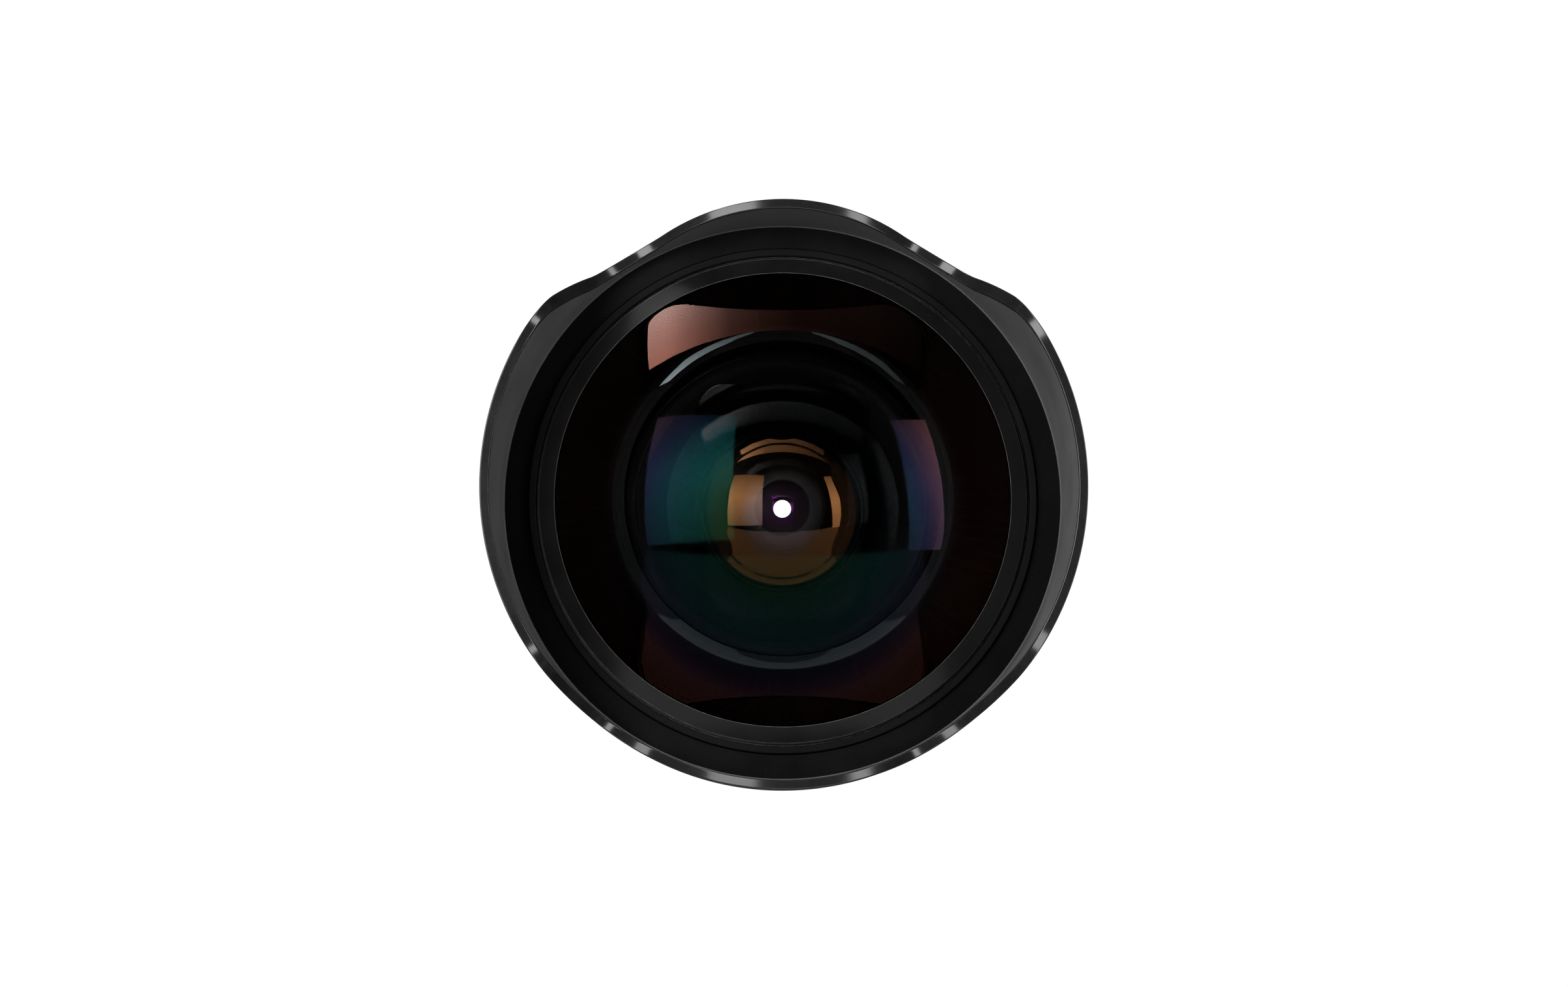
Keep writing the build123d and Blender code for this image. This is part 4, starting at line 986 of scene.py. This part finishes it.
def number(name, words, size, finish_used, carrier, height, angle):
    """Number with a flat face that stands a little out of the wall."""
    curve = bpy.data.curves.new(name + "_curve", "FONT")
    curve.body = words
    curve.size = size
    curve.align_x, curve.align_y = "CENTER", "CENTER"
    curve.extrude = inlay_out + inlay_in
    curve.resolution_u = 4
    holder = bpy.data.objects.new(name + "_holder", curve)
    bpy.context.scene.collection.objects.link(holder)
    data = bpy.data.meshes.new_from_object(holder.evaluated_get(bpy.context.evaluated_depsgraph_get()))
    bpy.data.objects.remove(holder)
    flat = [(v.co.x, v.co.y, inlay_out if v.co.z > 0 else -inlay_in) for v in data.vertices]
    wrap(name, flat, [tuple(face.vertices) for face in data.polygons], finish_used, carrier, height, angle)
    bpy.data.meshes.remove(data)


def line(name, width, length, finish_used, carrier, height, angle):
    """Upright line on a wall, with rounded ends."""
    ends = [math.pi * step / line_end_steps for step in range(line_end_steps + 1)]
    outline = [(width / 2 * math.cos(a), length / 2 + width / 2 * math.sin(a)) for a in ends]
    outline += [(-x, -y) for x, y in outline]
    count = len(outline)
    flat = [(x, y, inlay_out) for x, y in outline] + [(x, y, -inlay_in) for x, y in outline]
    faces = [tuple(range(count)), tuple(range(2 * count - 1, count - 1, -1))]
    faces += [(i, (i + 1) % count, count + (i + 1) % count, count + i) for i in range(count)]
    wrap(name, flat, faces, finish_used, carrier, height, angle)


# Stop numbers, the widest stop at the index at rest
stop_height = low("aperture_ring") + stop_number_rise
for place, words in enumerate(["2.8", "4", "5.6", "8", "11", "16", "22"]):
    number(
        f"stop_number_{place}", words, stop_number_size, white_enamel, "aperture_ring", stop_height,
        -stop_step * place,
    )

# Distances, at the angles by which the focus ring turns to them
distances = [
    ("\u221e", 0), ("3", 34), ("1.5", 56), ("1", 72), ("0.7", 86), ("0.5", 99), ("0.4", 110), ("0.3", 120),
]
distance_height = low("focus_ring") + distance_number_rise
for place, (words, turned_by) in enumerate(distances):
    number(
        f"distance_number_{place}", words, distance_number_size, amber_enamel if place % 2 else white_enamel,
        "focus_ring", distance_height, -math.radians(turned_by),
    )

# Index lines and depth scale of the fixed ring, and the red dot of the mount
depth_height = high("scale_ring") - depth_line_drop
line("focus_index_line", index_line_width, focus_line_length, white_enamel, "scale_ring", depth_height, 0)
for words, turned_by in (("8", 5.5), ("16", 11), ("22", 16.5)):
    for side, name in ((-1, "left"), (1, "right")):
        angle = side * math.radians(turned_by)
        line(
            f"depth_line_{words}_{name}", depth_line_width, depth_line_length, white_enamel, "scale_ring",
            depth_height, angle,
        )
        number(
            f"depth_number_{words}_{name}", words, depth_number_size, white_enamel, "scale_ring",
            depth_height - depth_number_drop, angle,
        )
line(
    "stop_index_line", index_line_width, stop_line_length, white_enamel, "scale_ring",
    low("scale_ring") + stop_line_rise, 0,
)
line(
    "mount_index", mount_dot_size, mount_dot_straight, red_enamel, "mount_ring",
    high("mount_ring") - mount_dot_drop, mount_dot_angle,
)


# Floor, light and camera

floor_segments = 96
floor_radius = 9.0
floor_patch = 400 * MM
under_lens_radius = 25 * MM


def luminous(name, colour, glow, near, under_glow):
    """Pale floor that gives off light of its own to the camera, and more, to all round, under the lens."""
    made = Finish(name)
    soft = made.mix(made.noise(floor_patch, 2.0), grey(0.97), grey(1.0))
    away = made.add("ShaderNodeVectorMath", {0: made.place}, operation="LENGTH").outputs["Value"]
    under_lens = made.math("LESS_THAN", away, near)
    seen = made.add("ShaderNodeLightPath").outputs["Is Camera Ray"]
    strength = made.math("MULTIPLY", made.math("MAXIMUM", seen, made.math("MULTIPLY", under_lens, under_glow)), glow)
    made.join(Base_Color=grey(colour), Roughness=0.9, Emission_Color=soft, Emission_Strength=strength)
    return made.material


def floor():
    """Round pale floor under the rear rim."""
    data = bpy.data.meshes.new("floor")
    turns = [math.tau * step / floor_segments for step in range(floor_segments)]
    ring = [(floor_radius * math.cos(turn), floor_radius * math.sin(turn), 0) for turn in turns]
    data.from_pydata(ring, [], [tuple(range(floor_segments))])
    data.materials.append(luminous("pale_floor", 0.03, 1.0, under_lens_radius, 1.7))
    made = bpy.data.objects.new("floor", data)
    bpy.context.scene.collection.objects.link(made)


def softbox(name, centre, facing, across, size, radiance, fill, fade_across=None, fade_up=None):
    """Rectangular panel of light. Matte surfaces get its fill, and polished ones mirror its radiance. The
    fades are the shares of its strength from side to side and from foot to top."""
    mirrored = panel(name, centre, facing, across, size, radiance, fade_across, fade_up)
    mirrored.visible_diffuse = False
    filling = panel(name + "_fill", centre, facing, across, size, fill, fade_across, fade_up)
    filling.visible_glossy = filling.visible_transmission = False
    return mirrored


def panel(name, centre, facing, across, size, radiance, fade_across=None, fade_up=None):
    """One area light, turned towards the lens."""
    data = bpy.data.lights.new(name, "AREA")
    data.shape = "RECTANGLE"
    data.size, data.size_y = size
    data.energy = radiance * math.pi * size[0] * size[1]
    made = bpy.data.objects.new(name, data)
    facing = Vector(facing).normalized()
    up = facing.cross(Vector(across)).normalized()
    turn = Matrix((up.cross(facing), up, facing)).transposed().to_4x4()
    made.matrix_world = Matrix.Translation(centre) @ turn
    made.visible_camera = False
    data.use_nodes = True
    nodes, links = data.node_tree.nodes, data.node_tree.links
    place = nodes.new("ShaderNodeSeparateXYZ")
    links.new(nodes.new("ShaderNodeNewGeometry").outputs["Parametric"], place.inputs[0])
    strength = nodes.new("ShaderNodeMath")
    strength.operation = "MULTIPLY"
    for number, fade in enumerate((fade_across, fade_up)):
        ramp = nodes.new("ShaderNodeValToRGB")
        stops = ramp.color_ramp.elements
        for stop, (position, share) in zip((stops[0], stops[1]), (fade[0], fade[-1]) if fade else ((0, 1), (1, 1))):
            stop.position, stop.color = position, (share, share, share, 1)
        for position, share in fade[1:-1] if fade else ():
            stops.new(position).color = (share, share, share, 1)
        links.new(place.outputs[number], ramp.inputs[0])
        links.new(ramp.outputs["Color"], strength.inputs[number])
    links.new(strength.outputs[0], nodes["Emission"].inputs["Strength"])
    bpy.context.scene.collection.objects.link(made)
    return made


def world(glow, backdrop):
    """Dim surroundings, which the camera sees as a pale backdrop."""
    made = bpy.data.worlds.new("pale_world")
    bpy.context.scene.world = made
    made.use_nodes = True
    nodes, links = made.node_tree.nodes, made.node_tree.links
    background = nodes["Background"]
    background.inputs["Color"].default_value = (1, 1, 1, 1)
    seen = nodes.new("ShaderNodeMapRange")
    seen.inputs["To Min"].default_value, seen.inputs["To Max"].default_value = glow, backdrop
    links.new(nodes.new("ShaderNodeLightPath").outputs["Is Camera Ray"], seen.inputs["Value"])
    links.new(seen.outputs["Result"], background.inputs["Strength"])


floor()
world(0.012, 1.0)

# The broad light above is mirrored by the front of the glass only; a second panel takes its place for
# rays inside the glass
softbox(
    "top_light", centre=(0.0, 0.479, 0.12), facing=(0.044, 0.757, 0.652), across=(1, -0.038, -0.023),
    size=(0.693, 0.31), radiance=10, fill=15,
    fade_across=[(0.0, 1.0), (0.1, 1.0), (0.25, 0.4), (0.345, 0.12), (0.45, 0.045), (0.54, 0.018), (1.0, 0.003)],
).visible_transmission = False
inner = panel(
    "inner_light", centre=(0.0, 0.451, 0.29), facing=(0.0, 0.9026, 0.4305), across=(1, 0, 0),
    size=(1.04, 0.135), radiance=5.6,
    fade_across=[(0.0, 1.0), (0.18, 0.8), (0.4, 0.2), (0.7, 0.08), (1.0, 0.04)],
)
inner.visible_diffuse = inner.visible_glossy = False
softbox(
    "left_light", centre=(-0.2742, 0.1117, 0.4841), facing=(-0.4596, -0.0368, 0.8874),
    across=(0.8877, 0.013, 0.4603), size=(0.2834, 0.4141), radiance=4, fill=25,
    fade_up=[(0.0, 0.4), (0.5, 1.0), (1.0, 0.3)],
)
softbox(
    "right_light", centre=(0.3887, 0.0847, 0.3829), facing=(0.5634, 0.0834, 0.8219),
    across=(0.8162, 0.0978, -0.5694), size=(0.1256, 0.3809), radiance=4, fill=25,
    fade_up=[(0.0, 0.6), (0.5, 1.0), (1.0, 0.35)],
)
softbox(
    "bottom_light", centre=(0.0057, -0.4718, 0.3099), facing=(0.0196, -0.5736, 0.8189),
    across=(1, 0.0124, -0.0153), size=(1.1043, 0.8024), radiance=0.6, fill=2.4,
    fade_up=[(0.0, 0.3), (0.5, 0.5), (1.0, 1.0)],
)

# Camera of the photograph
camera_place = Vector((-3.926, -56.129, 533.97)) * MM
camera_look = Vector((0.00873, 0.12186, -0.99251)).normalized()
camera_right = camera_look.cross(Vector((-0.00107, 0.99255, 0.12186))).normalized()
camera_up = camera_right.cross(camera_look)
camera_data = bpy.data.cameras.new("camera")
camera_data.lens = 81.78
camera_data.sensor_width = 36.0
camera_data.clip_start, camera_data.clip_end = 0.01, 30.0
camera = bpy.data.objects.new("camera", camera_data)
bpy.context.scene.collection.objects.link(camera)
camera_turn = Matrix((camera_right, camera_up, -camera_look)).transposed().to_4x4()
camera.matrix_world = Matrix.Translation(camera_place) @ camera_turn
bpy.context.scene.camera = camera
bpy.context.scene.view_settings.view_transform = "Standard"

# The way to the floor through all the glass and back takes many bounces
bpy.context.scene.cycles.max_bounces = 20
bpy.context.scene.cycles.transmission_bounces = 20
